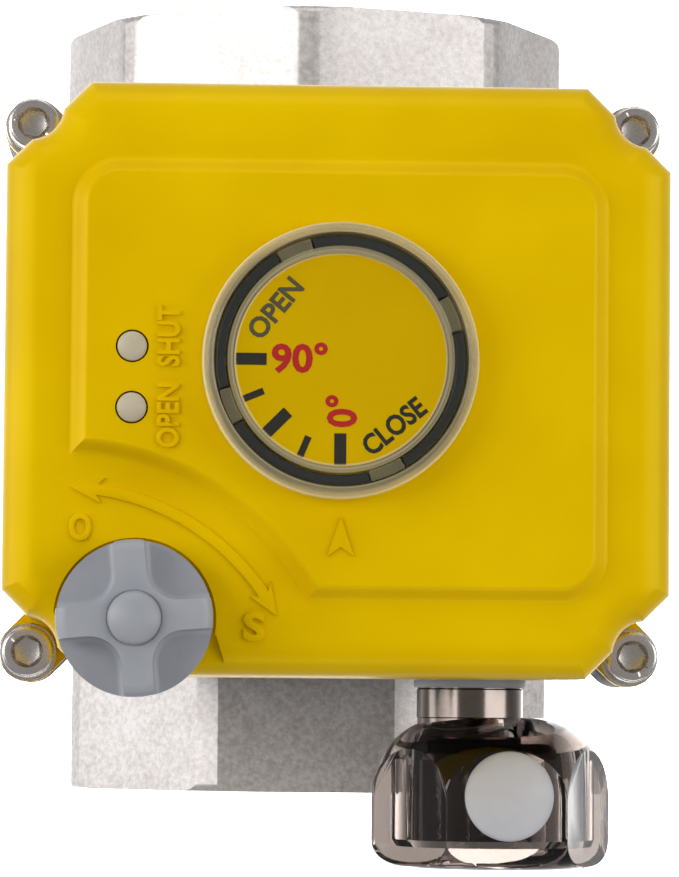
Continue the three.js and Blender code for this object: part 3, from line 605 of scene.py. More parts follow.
cover = {
    "halfX": 45.1,
    "halfY": 40.15,
    "centreY": -2.0,
    "chamfer": 11.4,
    "screw": (42.05, 36.8),  # from the housing's centre
    "notch": 4.6,
    "low": 82.0,
    "shoulder": 108.0,
    "top": 113.0,
    "rimSteps": 12,
    "skin": 2.5,
    "ear": 4.2,
    "earTop": 84.1,
    "earReach": 8.5,  # how far an ear runs back into the wall
    "windowHole": 17.6,
    "windowFloor": 112.4,
    "shaftHole": 7.0,
    "spindleHole": 3.3,
    "lensHole": 2.2,
    "screwHole": 2.2,
    "wellRadius": 10.9,  # the round well under the knob, which opens over the front edge
    "wellFloor": 111.8,
    "wellFront": 12.0,
    "wellSpread": 14.1,
    "wellBack": 2.0,
    "cutLow": 100.0,
    "cutTop": 125.0,
}
panel = {
    "left": -36.1,
    "right": 36.3,
    "front": -32.2,
    "back": 27.5,
    "corner": 6.5,
    "top": 115.0,
    "slope": 2.4,
    "slopeSteps": 12,
    "sweep": (-36.5, -49.4, 36.7),  # centre and radius of the arc in front of the knob
}
knobSpot = sum(corners("manual_knob"), Vector()) / 2


# A rectangle with cut corners and a round notch at each corner screw, inset all round.
def housingOutline(inset, steps=10):
    halfX = cover["halfX"] - inset
    halfY = cover["halfY"] - inset
    cut = cover["chamfer"] - inset * (2 - math.sqrt(2))
    sx, sy = cover["screw"]
    notch = cover["notch"] + inset
    half = math.degrees(math.acos((sx + sy - (halfX + halfY - cut)) / math.sqrt(2) / notch))
    quarter = [(halfX, halfY - cut), *arc(sx, sy, notch, 225 + half, 225 - half, steps), (halfX - cut, halfY)]
    outline = []
    for mirrorX, mirrorY in ((1, 1), (-1, 1), (-1, -1), (1, -1)):
        corner = [(x * mirrorX, cover["centreY"] + y * mirrorY) for x, y in quarter]
        outline += corner if mirrorX * mirrorY > 0 else corner[::-1]
    return outline


def screwSpots():
    sx, sy = cover["screw"]
    return [(sx, cover["centreY"] + sy), (-sx, cover["centreY"] + sy),
            (-sx, cover["centreY"] - sy), (sx, cover["centreY"] - sy)]


# A screw ear that runs back into the wall.
def ear(x, y, low, top):
    radius = cover["ear"]
    reach = cover["earReach"]
    inward = math.degrees(math.atan2(math.copysign(1, cover["centreY"] - y), math.copysign(1, -x)))
    backX = x + reach * math.cos(math.radians(inward))
    backY = y + reach * math.sin(math.radians(inward))
    back = arc(backX, backY, radius, inward - 90, inward + 90, 1)
    return slab(arc(x, y, radius, inward + 90, inward + 270, 18) + back, low, top)


def disc(x, y, radius, low, top, steps=64):
    return turn([(0, low), (radius, low), (radius, top), (0, top)], steps, (x, y, 0))


# The raised panel's plan: a rounded rectangle, cut back by an arc in front of the knob.
def panelOutline(inset):
    x, y, radius = panel["sweep"]
    radius += inset
    left, right = panel["left"] + inset, panel["right"] - inset
    front, back = panel["front"] + inset, panel["back"] - inset
    corner = panel["corner"] - inset
    begin = math.degrees(math.acos((left - x) / radius))
    end = math.degrees(math.asin((front - y) / radius))
    outline = arc(right - corner, front + corner, corner, -90, 0, 14)
    outline += arc(right - corner, back - corner, corner, 0, 90, 14)
    outline += arc(left + corner, back - corner, corner, 90, 180, 14)
    return outline + arc(x, y, radius, begin, end, 44)


def makePanel():
    rise = panel["top"] - cover["top"]
    rings = [(panelOutline(0), cover["top"] - 1)]
    for i in range(panel["slopeSteps"]):
        share = i / panel["slopeSteps"]
        height = cover["top"] + 0.02 + rise * (0.5 - 0.5 * math.cos(math.pi * share))
        rings.append((panelOutline(panel["slope"] * share), height))
    rings.append((panelOutline(panel["slope"]), panel["top"]))
    return stacked(rings)


def coverTools():
    c = cover
    x, y = knobSpot.x, knobSpot.y
    flare = [(x - c["wellRadius"], y - c["wellFront"]), (x + c["wellSpread"], y - c["wellFront"]),
             (x + c["wellRadius"], y - c["wellBack"]), (x - c["wellRadius"], y - c["wellBack"])]
    tools = [
        slab(housingOutline(c["skin"]), c["low"] - 2, c["top"] - c["skin"] - 1),
        disc(x, y, c["wellRadius"], c["wellFloor"], c["cutTop"], 96),
        slab(flare, c["wellFloor"], c["cutTop"]),
        disc(0, 0, c["windowHole"], c["windowFloor"], c["cutTop"], 96),
        disc(0, 0, c["shaftHole"], c["cutLow"], c["cutTop"]),
        disc(x, y, c["spindleHole"], c["cutLow"], c["cutTop"]),
    ]
    for node in ("light_lens_shut", "light_lens_open"):
        middle = sum(corners(node), Vector()) / 2
        tools.append(disc(middle.x, middle.y, c["lensHole"], c["cutLow"], c["cutTop"], 40))
    for x, y in screwSpots():
        tools.append(disc(x, y, c["screwHole"], c["low"] - 2, c["cutLow"], 32))
    return tools


def makeCover():
    body = roundedStack(housingOutline, cover["low"], cover["shoulder"], cover["top"], cover["rimSteps"])
    ears = [ear(x, y, cover["low"], cover["earTop"]) for x, y in screwSpots()]
    solid = merged("UNION", body, makePanel(), *ears)
    standIn(merged("DIFFERENCE", solid, *coverTools()), "cover", yellow, sharp=24.0, weighted=True)


makeCover()
print("cover made")


marks = {
    "words": (
        {"name": "word_shut", "text": "SHUT", "spot": (-22.95, 3.2), "length": 8.2},
        {"name": "word_open", "text": "OPEN", "spot": (-22.95, -7.5), "length": 8.6},
    ),
    "wordHeight": 3.1,
    "wordBold": 0.03,
    "letters": (
        {"name": "letter_o", "text": "O", "spot": (-34.5, -22.4)},
        {"name": "letter_s", "text": "S", "spot": (-11.1, -35.5)},
    ),
    "letterSize": (3.9, 3.0),
    "letterBold": 0.04,
    "wordRise": 0.4,
    "shapeRise": 0.35,
    "sunk": 0.1,  # how deep a mark's underside lies in the cover
    "edge": 0.1,
}
arrow = {
    "radius": 32.3,  # about the centre of the panel's arc
    "from": 34.5,
    "to": 82.5,
    "steps": 30,
    "half": 0.75,
    "headHalf": 1.75,
    "headLength": 3.45,
    "headBack": 1.5,  # degrees
}
pointer = {
    "x": 0.3,
    "tip": -20.8,
    "base": -26.1,
    "half": 1.85,
    "notch": 1.3,
}


def addMark(bm, name):
    piece(softEdges(bm, marks["edge"], 2), name, yellow, "housing", slotName="yellow_plastic")


def makeWords():
    rise = marks["wordRise"] + marks["sunk"]
    for word in marks["words"]:
        bm = lettering(word["text"], marks["wordHeight"], word["length"], rise, marks["wordBold"])
        addMark(moved(spun(bm, 90), *word["spot"], panel["top"] - marks["sunk"]), word["name"])
    for letter in marks["letters"]:
        bm = lettering(letter["text"], *marks["letterSize"], rise, marks["letterBold"])
        addMark(moved(bm, *letter["spot"], cover["top"] - marks["sunk"]), letter["name"])


def makeArrow():
    x, y, _ = panel["sweep"]
    radius, start, end = arrow["radius"], arrow["from"], arrow["to"]
    half, headHalf, back = arrow["half"], arrow["headHalf"], arrow["headBack"]
    head = math.degrees(arrow["headLength"] / radius)

    def at(out, angle):
        return arc(x, y, radius + out, angle, angle, 1)[0]

    outline = arc(x, y, radius + half, start, end, arrow["steps"])
    outline += [at(headHalf, end - back), at(0, end + head), at(-headHalf, end - back)]
    outline += arc(x, y, radius - half, end, start, arrow["steps"])
    outline += [at(-headHalf, start + back), at(0, start - head), at(headHalf, start + back)]
    addMark(slab(outline, cover["top"] - marks["sunk"], cover["top"] + marks["shapeRise"]), "turn_arrow")


def makePointer():
    x, base = pointer["x"], pointer["base"]
    outline = [(x, pointer["tip"]), (x - pointer["half"], base), (x, base + pointer["notch"]),
               (x + pointer["half"], base)]
    addMark(slab(outline, panel["top"] - marks["sunk"], panel["top"] + marks["shapeRise"]), "pointer")


makeWords()
makeArrow()
makePointer()
print("marks made")


dial = {
    "radius": 14.2,
    "edge": 0.2,
    "ink": 0.04,
    "sunk": 0.02,  # how deep the ink's underside lies in the dial
    "bold": 0.03,
    "tickEnd": 14.05,
    "tickPoint": 0.04,
    "ticks": (
        {"angle": 180.0, "half": 0.8, "inner": 9.9},
        {"angle": 202.5, "half": 0.46, "inner": 11.1},
        {"angle": 225.0, "half": 0.8, "inner": 9.9},
        {"angle": 247.5, "half": 0.46, "inner": 11.1},
        {"angle": 270.0, "half": 0.8, "inner": 9.8},
    ),
    "words": (
        {"name": "dial_ninety", "text": "90°", "size": (4.2, 7.5), "spot": (-5.5, 0.2), "angle": 0,
         "ink": redInk},
        {"name": "dial_zero", "text": "0°", "size": (4.3, 4.3), "spot": (0.1, -6.85), "angle": 90,
         "ink": redInk},
        {"name": "dial_open", "text": "OPEN", "size": (2.85, 9.2), "spot": (-8.85, 6.75), "angle": 50.8,
         "ink": greyInk},
        {"name": "dial_close", "text": "CLOSE", "size": (2.85, 9.7), "spot": (7.1, -8.8), "angle": 39.5,
         "ink": blackInk},
    ),
}


def makeDial():
    low, high = (corner.z for corner in corners("indicator_dial"))
    radius, edge = dial["radius"], dial["edge"]
    face = turn([(0, low), (radius - edge, low), (radius, low + edge), (radius, high - edge),
                 (radius - edge, high), (0, high)], 96)
    standIn(face, "indicator_dial", dialYellow, sharp=30.0)
    end, point = dial["tickEnd"], dial["tickPoint"]
    for i, tick in enumerate(dial["ticks"]):
        inner, half = tick["inner"], tick["half"]
        outline = [(inner, -half), (end - point, -half), (end, 0), (end - point, half), (inner, half)]
        bar = slab(outline, high - dial["sunk"], high + dial["ink"])
        piece(spun(bar, tick["angle"]), f"dial_tick_{i + 1}", blackInk, "output", slotName="black_plastic")
    for word in dial["words"]:
        bm = lettering(word["text"], *word["size"], dial["ink"] + dial["sunk"], dial["bold"])
        moved(spun(bm, word["angle"]), *word["spot"], high - dial["sunk"])
        piece(bm, word["name"], word["ink"], "output", slotName="black_plastic")


window = {
    "radius": 18.5,
    "rounding": 2.0,
    "rim": 115.1,
    "rimEdge": 0.2,
    "top": 120.0,
    "wall": 1.3,
    "skirt": 16.95,
    "skirtWall": 0.5,
    "skirtLow": 112.7,
    "ribRadius": 14.5,
    "ribWall": 0.55,
    "ribHeight": 1.2,
    "ringOuter": 16.7,
    "ringInner": 15.3,
    "ringLow": 113.2,
    "ringTop": 118.2,
    "ringEdge": 0.3,
    "gapAngle": 23.0,  # the middle of the first of four gaps in the ring
    "gapHalf": 9.0,
    "gapFloor": 114.2,
    "lugHalf": 8.3,
    "lugLow": 114.5,
    "lugEdge": 0.15,
}


def makeWindow():
    w = window
    under = w["top"] - w["wall"]
    skirtOut = w["skirt"] + w["skirtWall"]
    ribOut = w["ribRadius"] + w["ribWall"]
    ribLow = under - w["ribHeight"]
    profile = [(0, w["top"]), *rimPoints(w["radius"], w["top"], w["rounding"])[::-1],
               (w["radius"], w["rim"] + w["rimEdge"]), (w["radius"] - w["rimEdge"], w["rim"]),
               (skirtOut, w["rim"]), (skirtOut, w["skirtLow"]), (w["skirt"], w["skirtLow"]),
               (w["skirt"], under), (ribOut, under), (ribOut, ribLow), (w["ribRadius"], ribLow),
               (w["ribRadius"], under), (0, under)]
    standIn(turn(profile, 96), "window_lens", windowClear, sharp=40.0)
    makeRing()
    makeLugs(under)


def makeRing():
    w = window
    inner, outer, edge = w["ringInner"], w["ringOuter"], w["ringEdge"]
    section = [(inner, w["ringLow"]), (outer, w["ringLow"]), (outer, w["ringTop"] - edge),
               (outer - edge, w["ringTop"]), (inner + edge, w["ringTop"]), (inner, w["ringTop"] - edge)]
    half = outer * math.sin(math.radians(w["gapHalf"]))
    gaps = []
    for i in range(4):
        bar = slab([(12, -half), (20, -half), (20, half), (12, half)], w["gapFloor"], w["ringTop"] + 1)
        gaps.append(spun(bar, w["gapAngle"] + 90 * i))
    ring = merged("DIFFERENCE", turn(section + section[:1], 120), *gaps)
    standIn(ring, "window_ring", black, sharp=30.0)


# Clear lugs that fill the ring's gaps.
def makeLugs(under):
    w = window
    for i in range(4):
        start = w["gapAngle"] + 90 * i - w["lugHalf"]
        end = start + 2 * w["lugHalf"]
        outline = arc(0, 0, w["ringOuter"] - 0.05, start, end, 10)
        outline += arc(0, 0, w["ringInner"] - 0.1, end, start, 10)
        lug = softEdges(slab(outline, w["lugLow"], under - 0.1), w["lugEdge"], 2)
        piece(lug, f"window_lug_{i + 1}", lugClear, "housing", slotName="clear_plastic")


lens = {
    "radius": 1.98,
    "rise": 0.75,
}


def makeLenses():
    for node in ("light_lens_shut", "light_lens_open"):
        low, high = corners(node)
        spot = ((low.x + high.x) / 2, (low.y + high.y) / 2, 0)
        points = [(0, low.z), (lens["radius"], low.z), *domePoints(lens["radius"], high.z, lens["rise"])]
        standIn(turn(points, 48, spot), node, paleLens, sharp=40.0)


makeDial()
makeWindow()
makeLenses()
print("window, dial and lenses made")


knob = {
    "radius": 10.4,
    "rounding": 1.6,
    "hubEdge": 3.75,
    "hubRecess": 0.15,
    "rib": 2.0,
    "corner": 4.2,
    "floor": 117.7,
    "floorSlope": 0.09,
    "pocketEdge": 0.9,
    "edge": 0.55,
    "turn": 4.5,
    "capRadius": 3.5,
    "capRise": 1.4,
}


def knobPocket(top):
    rib, corner, outside = knob["rib"], knob["corner"], 14.0
    outline = [(rib, outside), *arc(rib + corner, rib + corner, corner, 180, 270, 10), (outside, rib),
               (outside, outside)]
    pocket = slab(outline, knob["floor"], top + 3)
    floorFace = min(pocket.faces, key=lambda face: face.calc_center_median().z)
    for vert in floorFace.verts:
        vert.co.z += knob["floorSlope"] * (knob["radius"] - math.hypot(vert.co.x, vert.co.y))
    return softEdges(pocket, knob["pocketEdge"], 4, 60.0)


def makeKnob():
    low, top = (corner.z for corner in corners("manual_knob"))
    x, y, radius = knobSpot.x, knobSpot.y, knob["radius"]
    hub = knob["hubEdge"]
    recess = top - knob["hubRecess"]
    body = turn([(0, low), (radius - 1.0, low), (radius - 0.5, low + 0.4), (radius, low + 1.2),
                 *rimPoints(radius, top, knob["rounding"]), (hub, top), (hub - knob["hubRecess"], recess),
                 (0, recess)], 96, (x, y, 0))
    pockets = [moved(spun(knobPocket(top), knob["turn"] + 90 * i), x, y, 0) for i in range(4)]
    shaped = softEdges(merged("DIFFERENCE", body, *pockets), knob["edge"], 4, 34.0)
    standIn(shaped, "manual_knob", grey, sharp=35.0, weighted=True)
    low, top = (corner.z for corner in corners("knob_cap"))
    cap = [(0, low), (knob["capRadius"], low), *domePoints(knob["capRadius"], top, knob["capRise"])]
    standIn(turn(cap, 64, (x, y, 0)), "knob_cap", grey, sharp=40.0)


makeKnob()
print("knob made")


coverScrew = {
    "turns": (12, 20, 8, 38),
    "head": 3.5,
    "height": 4.0,
    "socket": 1.72,
    "depth": 2.3,
    "shank": 1.95,
    "ridgeDepth": 0.012,  # of the radius
    "material": screwSteel,
}
mountingScrew = {
    "turns": (15, 30, 45, 60),
    "head": 4.15,
    "height": 3.6,
    "socket": 2.0,
    "depth": 1.8,
    "shank": 2.4,
    "ridgeDepth": 0.0,
    "material": machined,
}
flatWasher = {
    "bore": 2.2,
    "radius": 4.05,
    "edge": 0.1,
    "upperEdge": 0.15,
}
springWasher = {
    "bore": 2.25,
    "radius": 3.6,
    "thickShare": 0.86,
    "clear": 0.005,
    "sweep": 350.0,
    "steps": 60,
    "edge": 0.1,
    "start": 30.0,
    "startStep": 77.0,
}


def hexagon(acrossHalf):
    radius = acrossHalf / math.cos(math.radians(30))
    return [(radius * math.cos(math.radians(60 * i + 30)), radius * math.sin(math.radians(60 * i + 30)))
            for i in range(6)]


def capScrew(node, screw, turnBy):
    low, high = corners(node)
    head, shank, socket = screw["head"], screw["shank"], screw["socket"]
    top = high.z
    seat = top - screw["height"]
    floor = top - screw["depth"]
    steps = 72
    body = turn([(0, low.z), (shank - 0.3, low.z), (shank, low.z + 0.4), (shank, seat), (head - 0.25, seat),
                 (head, seat + 0.2), *rimPoints(head, top, 0.45), (0, top)], steps)
    hole = slab(hexagon(socket), floor, top + 1)
    drill = turn([(0, floor - 0.7), (socket * 0.98, floor + 0.02), (0, floor + 0.05)], 32)
    mouth = turn([(0, top - 0.9), (socket * 0.9, top - 0.9), (socket + 0.75, top + 0.3), (0, top + 0.3)], 48)
    body = merged("DIFFERENCE", body, hole, drill, mouth)
    for vert in body.verts:
        if math.hypot(vert.co.x, vert.co.y) > head - 0.02 and vert.co.z < top - 0.5:
            step = round(math.atan2(vert.co.y, vert.co.x) / math.tau * steps)
            shrink = 1 - screw["ridgeDepth"] * (step % 2)
            vert.co.x *= shrink
            vert.co.y *= shrink
    moved(spun(body, turnBy), (low.x + high.x) / 2, (low.y + high.y) / 2, 0)
    standIn(body, node, screw["material"], sharp=28.0)


def makeFlatWasher(node):
    low, high = corners(node)
    bore, radius = flatWasher["bore"], flatWasher["radius"]
    edge, upperEdge = flatWasher["edge"], flatWasher["upperEdge"]
    section = [(bore, low.z), (radius - edge, low.z), (radius, low.z + edge), (radius, high.z - upperEdge),
               (radius - upperEdge, high.z), (bore + edge, high.z), (bore, high.z - edge)]
    washer = turn(section + section[:1], 64, ((low.x + high.x) / 2, (low.y + high.y) / 2, 0))
    standIn(washer, node, screwSteel, sharp=30.0)


def makeFasteners():
    for i, turnBy in enumerate(coverScrew["turns"]):
        capScrew(f"cover_screw_{i + 1}", coverScrew, turnBy)
        makeFlatWasher(f"flat_washer_{i + 1}")
        makeSpringWasher(f"spring_washer_{i + 1}", springWasher["start"] + springWasher["startStep"] * i)
    for i, turnBy in enumerate(mountingScrew["turns"]):
        capScrew(f"mounting_screw_{i + 1}", mountingScrew, turnBy)


def makeSpringWasher(node, start):
    low, high = corners(node)
    bore, radius, steps = springWasher["bore"], springWasher["radius"], springWasher["steps"]
    tall = high.z - low.z
    thick = tall * springWasher["thickShare"]
    foot = low.z + springWasher["clear"]
    rise = (tall - thick - 2 * springWasher["clear"]) / steps
    bm = bmesh.new()
    section = [(bore, foot), (radius, foot), (radius, foot + thick), (bore, foot + thick)]
    face = bm.faces.new([bm.verts.new((r, 0, z)) for r, z in section])
    bmesh.ops.spin(bm, geom=[face, *face.edges, *face.verts], cent=(0, 0, 0), axis=(0, 0, 1),
                   dvec=(0, 0, rise), angle=math.radians(springWasher["sweep"]), steps=steps, use_merge=False)
    bmesh.ops.recalc_face_normals(bm, faces=bm.faces)
    softEdges(bm, springWasher["edge"], 2, 40.0)
    moved(spun(bm, start), (low.x + high.x) / 2, (low.y + high.y) / 2, 0)
    standIn(bm, node, screwSteel, sharp=30.0)


makeFasteners()
print("screws and washers made")


valve = {
    "flats": 73.6,
    "halves": {1: 60.0, -1: 59.0},  # outlet end, inlet end
    "turns": {1: -3.2, -1: 20.0},
    "turned": 39.1,
    "rim": 1.2,
    "edge": 0.5,
    "barrel": 37.0,
    "joint": 30.0,
    "port": 19.0,
    "portReach": 12.6,
    "socket": 28.3,
    "socketDepth": 24.0,
    "threadStart": 2.2,
    "threadDepth": 1.2,
    "pitch": 2.309,
    "mouth": 30.4,
    "mouthEdge": 0.7,
    "cavity": 29.0,
    "cavityEnd": 12.5,
    "seatPocket": 25.8,
    "seatBack": 24.1,
    "spigot": 31.2,
    "spigotHole": 31.5,
    "spigotEnd": -16.3,
    "pad": 25.0,
    "padCorner": 3.0,
    "padLow": 22.0,
    "padTop": 43.9,
    "mountHole": 2.6,
    "mountSpot": 17.7,
    "stemHoles": ((10.3, 0, 31.3), (7.15, 20, 50), (11.0, 36, 50)),  # radius, low, top
}
ballSizes = {
    "radius": 27.97,
    "slotHalf": 4.1,
    "slotFloor": 22.5,
    "edge": 0.35,
}


def turnY(points, steps=72):
    return turn(points, steps, (0, 0, 0), (0, 1, 0), (0, 0, 1))


# An octagon along Y between two stations, one corner upwards before it is turned.
def octagonBlock(start, end, turnBy):
    radius = valve["flats"] / 2 / math.cos(math.pi / 8)
    angles = [math.radians(turnBy + 45 * i) for i in range(8)]
    return prismY([(radius * math.sin(t), radius * math.cos(t)) for t in angles], start, end)


# Cuts a threaded socket and the port behind it; sign is 1 at the outlet and -1 at the inlet.
def socketTool(sign):
    v = valve
    half = v["halves"][sign]
    inner = half - v["socketDepth"]
    root = v["socket"] + v["threadDepth"]
    wide = v["mouth"] + v["mouthEdge"]
    far = inner - v["portReach"]
    points = [(0, far), (v["port"], far), (v["port"], inner), (root, inner)]
    y = inner + v["threadStart"]
    while y + v["pitch"] < half - 2:
        points += [(root, y), (v["socket"] + 0.05, y + v["pitch"] / 2)]
        y += v["pitch"]
    points += [(root, y), (v["mouth"], half - 0.6), (wide, half + 0.05), (wide, half + 4), (0, half + 4)]
    return turnY([(r, sign * y) for r, y in points], 96)


# An octagonal end whose corners are turned down.
def valveEnd(sign, start):
    half = valve["halves"][sign]
    rim = [(r, sign * y) for r, y in rimPoints(valve["turned"], half, valve["rim"])]
    low = sign * (start - 4)
    turned = turnY([(0, low), (valve["turned"], low), *rim, (0, sign * half)], 144)
    ends = sorted((sign * start, sign * (half + 1)))
    return merged("INTERSECT", octagonBlock(*ends, valve["turns"][sign]), turned)


# Screw holes at the corners of a square about the stem.
def mountHoles(low, top, steps):
    spot = valve["mountSpot"]
    return [disc(x, y, valve["mountHole"], low, top, steps) for x in (-spot, spot) for y in (-spot, spot)]


def makeBody():
    v = valve
    joint, barrel, pad, far = v["joint"], v["barrel"], v["pad"], v["pad"] - v["padCorner"]
    tube = turnY([(0, -joint), (barrel - 0.4, -joint), (barrel, 0.4 - joint), (barrel, joint + 1),
                  (0, joint + 1)], 96)
    outline = [(far, -pad), (pad, -far), (pad, far), (far, pad), (-far, pad), (-pad, far), (-pad, -far),
               (-far, -pad)]
    body = merged("UNION", valveEnd(1, joint - 1), tube, slab(outline, v["padLow"], v["padTop"]))
    softEdges(body, v["edge"], 3, 25.0)
    cavity = turnY([(0, -34), (v["spigotHole"], -34), (v["spigotHole"], -16), (v["cavity"], -16),
                    (v["cavity"], v["cavityEnd"]), (v["seatPocket"], v["cavityEnd"]),
                    (v["seatPocket"], v["seatBack"]), (0, v["seatBack"])], 72)
    stemHoles = [disc(0, 0, *hole) for hole in v["stemHoles"]]
    body = merged("DIFFERENCE", body, socketTool(1), cavity, *stemHoles, *mountHoles(33, 50, 32))
    standIn(body, "valve_body", steel, sharp=26.0, weighted=True)


def makeEndCap():
    v = valve
    cap = softEdges(valveEnd(-1, v["joint"] + 0.3), v["edge"], 3, 25.0)
    spigot = turnY([(0, -33), (v["spigot"], -33), (v["spigot"], v["spigotEnd"] - 0.4),
                    (v["spigot"] - 0.4, v["spigotEnd"]), (0, v["spigotEnd"])], 72)
    seat = v["seatPocket"]
    pocket = turnY([(0, -v["seatBack"]), (seat, -v["seatBack"]), (seat, -10), (0, -10)], 72)
    cap = merged("DIFFERENCE", merged("UNION", cap, spigot), socketTool(-1), pocket)
    standIn(cap, "end_cap", steel, sharp=26.0, weighted=True)


def makeBall():
    half, port = ballSizes["slotHalf"], valve["port"]
    bm = bmesh.new()
    bmesh.ops.create_uvsphere(bm, u_segments=64, v_segments=48, radius=ballSizes["radius"])
    bore = spun(turnY([(0, -30), (port, -30), (port, 30), (0, 30)], 72), 90)
    slot = slab([(-half, -29), (half, -29), (half, 29), (-half, 29)], ballSizes["slotFloor"], 40)
    ball = softEdges(merged("DIFFERENCE", bm, bore, slot), ballSizes["edge"], 3, 40.0)
    standIn(ball, "ball", bright, sharp=30.0)


makeBody()
makeEndCap()
makeBall()
print("valve made")


entryAxis = (21.1, 65.0)  # x and z of the cable entry
base = {
    "inset": 0.6,
    "bottom": 44.0,
    "top": 80.9,
    "foot": 4.0,
    "wall": 2.2,
    "floor": 47.0,
    "edge": 0.3,
    "earLow": 66.5,
    "ribX": 44.5,
    "ribYs": (-22, -7, 8, 20),
    "ribHalf": (0.9, 0.6),
    "ribLow": 50.0,
    "ribTop": 76.0,
    "stemHole": 13.0,
    "entryHole": 7.7,
    "screwHole": 2.1,
    "screwLow": 69.5,
}


def rib(x, y):
    halfX, halfY = base["ribHalf"]
    outline = [(x - halfX, y - halfY), (x + halfX, y - halfY), (x + halfX, y + halfY), (x - halfX, y + halfY)]
    return slab(outline, base["ribLow"], base["ribTop"])


def makeBase():
    b = base
    # stacked upside down, because roundedStack rounds the upper rim
    shell = roundedStack(lambda inset: housingOutline(b["inset"] + inset), -b["top"],
                         -b["bottom"] - b["foot"], -b["bottom"], 8)
    moved(spun(shell, 180, axis="X"), 0, 2 * cover["centreY"], 0)
    parts = [ear(x, y, b["earLow"], b["top"]) for x, y in screwSpots()]
    parts += [rib(x, y) for x in (-b["ribX"], b["ribX"]) for y in b["ribYs"]]
    solid = softEdges(merged("UNION", shell, *parts), b["edge"], 2, 40.0)
    x, z = entryAxis
    radius = b["entryHole"]
    tools = [
        slab(housingOutline(b["inset"] + b["wall"]), b["floor"], b["top"] + 2),
        disc(0, 0, b["stemHole"], 40, 60),
        turn([(0, 30), (radius, 30), (radius, 50), (0, 50)], 48, (x, 0, z), (0, -1, 0), (1, 0, 0)),
    ]
    tools += [disc(x, y, b["screwHole"], b["screwLow"], 90, 24) for x, y in screwSpots()]
    solid = merged("DIFFERENCE", solid, *tools, *mountHoles(40, 50, 24))
    standIn(solid, "base_housing", dark, sharp=28.0, weighted=True)


makeBase()
print("base made")


entry = {
    "washer": ((7.6, -43.2), (7.8, -43.2), (8.0, -43.1), (8.1, -42.9), (8.1, -41.8), (8.0, -41.65),
               (7.6, -41.65)),
    "flange": ((5.9, -52), (7.3, -52), (7.5, -51.8), (7.5, -47.6), (7.65, -47.45), (7.65, -43.5),
               (7.45, -43.3), (7.45, -41.0)),
    "threadStart": -41.0,
    "threadEnd": -36.9,
    "pitch": 0.7,
    "threadRoot": 7.2,
    "threadCrest": 7.5,
    "tail": ((7.4, -35.85), (5.9, -35.85)),
    "seal": ((0, -65.5), (10.1, -65.5), (10.6, -65.0), (10.6, -53.6), (9.6, -52.3), (0, -52.3)),
}
cap = {
    "x": 24.2,
    "flats": 30.0,
    "turn": 5.0,
    "front": -69.0,
    "back": -47.5,
    "frontRound": 4.0,
    "backRound": 12.0,
    "backSweep": 75,
    "edge": 0.5,
    "bore": 11.4,
    "boreFloor": 3.0,
    "neckHole": 7.8,
    "plugHole": 4.3,
}
plug = {
    "spot": (0.2, -58.5),
    "radius": 6.35,
    "rise": 1.9,
    "top": 2.6,
    "stub": 4.0,
    "stubDepth": 3.2,
}


# Turns [radius, y] points about an axis along Y at the cable entry's height.
def turnEntry(points, x=entryAxis[0]):
    return turn(points, 96, (x, 0, entryAxis[1]), (0, 1, 0), (0, 0, 1))


def makeEntry():
    e = entry
    standIn(turnEntry([*e["washer"], e["washer"][0]]), "entry_washer", white, sharp=40.0)
    nipple = list(e["flange"])
    y = e["threadStart"]
    while y < e["threadEnd"]:
        nipple += [(e["threadRoot"], y + e["pitch"] / 2), (e["threadCrest"], y + e["pitch"])]
        y += e["pitch"]
    nipple += [*e["tail"], e["flange"][0]]
    standIn(turnEntry(nipple), "entry_nipple", neckSteel, sharp=35.0)
    standIn(turnEntry(e["seal"], cap["x"]), "entry_seal", brownRubber, sharp=35.0)


# The cap is made about its own axis, then turned and moved into place.
def placed(bm):
    return moved(spun(bm, cap["turn"], axis="Y"), cap["x"], 0, entryAxis[1])


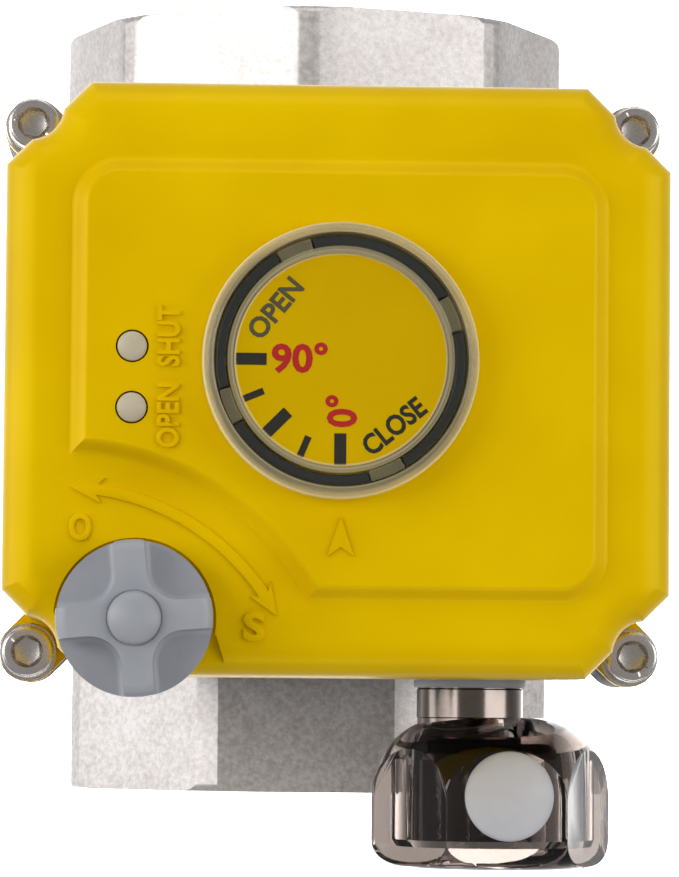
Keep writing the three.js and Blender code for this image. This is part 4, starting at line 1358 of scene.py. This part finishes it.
def capOutside():
    corner = cap["flats"] / 2 / math.cos(math.radians(30))
    angles = [math.radians(60 * i + 30) for i in range(6)]
    outline = [(corner * math.sin(t), corner * math.cos(t)) for t in angles]
    block = prismY(outline, cap["front"] - 1, cap["back"] + 1)
    small, large = cap["frontRound"], cap["backRound"]
    points = [(0, cap["front"])]
    for angle in range(0, 91, 9):
        t = math.radians(angle)
        points.append((corner - small + small * math.sin(t), cap["front"] + small * (1 - math.cos(t))))
    lift = math.sin(math.radians(cap["backSweep"]))
    for angle in range(0, cap["backSweep"] + 1, 5):
        t = math.radians(angle)
        points.append((corner - large * (1 - math.cos(t)), cap["back"] - large * (lift - math.sin(t))))
    points.append((0, cap["back"]))
    return softEdges(merged("INTERSECT", block, turnY(points, 128)), cap["edge"], 3, 20.0)


def makeCap():
    front, back, bore = cap["front"] + cap["boreFloor"], cap["back"], cap["bore"]
    hollow = turnY([(0, front), (bore - 1, front), (bore, front + 1), (bore, back - 6), (bore - 2, back - 4),
                    (0, back - 4)], 96)
    neck = cap["neckHole"]
    neckHole = turnY([(0, back - 6), (neck, back - 6), (neck, back + 1), (0, back + 1)], 64)
    offset = entryAxis[0] - cap["x"]
    turned = math.radians(cap["turn"])
    moved(neckHole, offset * math.cos(turned), 0, offset * math.sin(turned))
    hole = disc(*plug["spot"], cap["plugHole"], 8, 20, 48)
    shell = merged("DIFFERENCE", capOutside(), hollow, neckHole, hole)
    standIn(placed(shell), "entry_cap", capClear, sharp=30.0)
    flat = cap["flats"] / 2
    radius, stub, end = plug["radius"], plug["stub"], flat - plug["stubDepth"]
    points = [(0, end), (stub - 0.2, end), (stub, end + 0.2), (stub, flat + 0.3), (radius - 0.3, flat + 0.3),
              (radius, flat + 0.5), *domePoints(radius, flat + plug["top"], plug["rise"], 10)]
    standIn(placed(turn(points, 72, (*plug["spot"], 0))), "transit_plug", white, sharp=40.0)


makeEntry()
makeCap()
print("cable entry made")


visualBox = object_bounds()
for name, before, after in zip(("low", "high"), cadBox, visualBox):
    print(name, [round(v / mm, 2) for v in before], [round(v / mm, 2) for v in after])
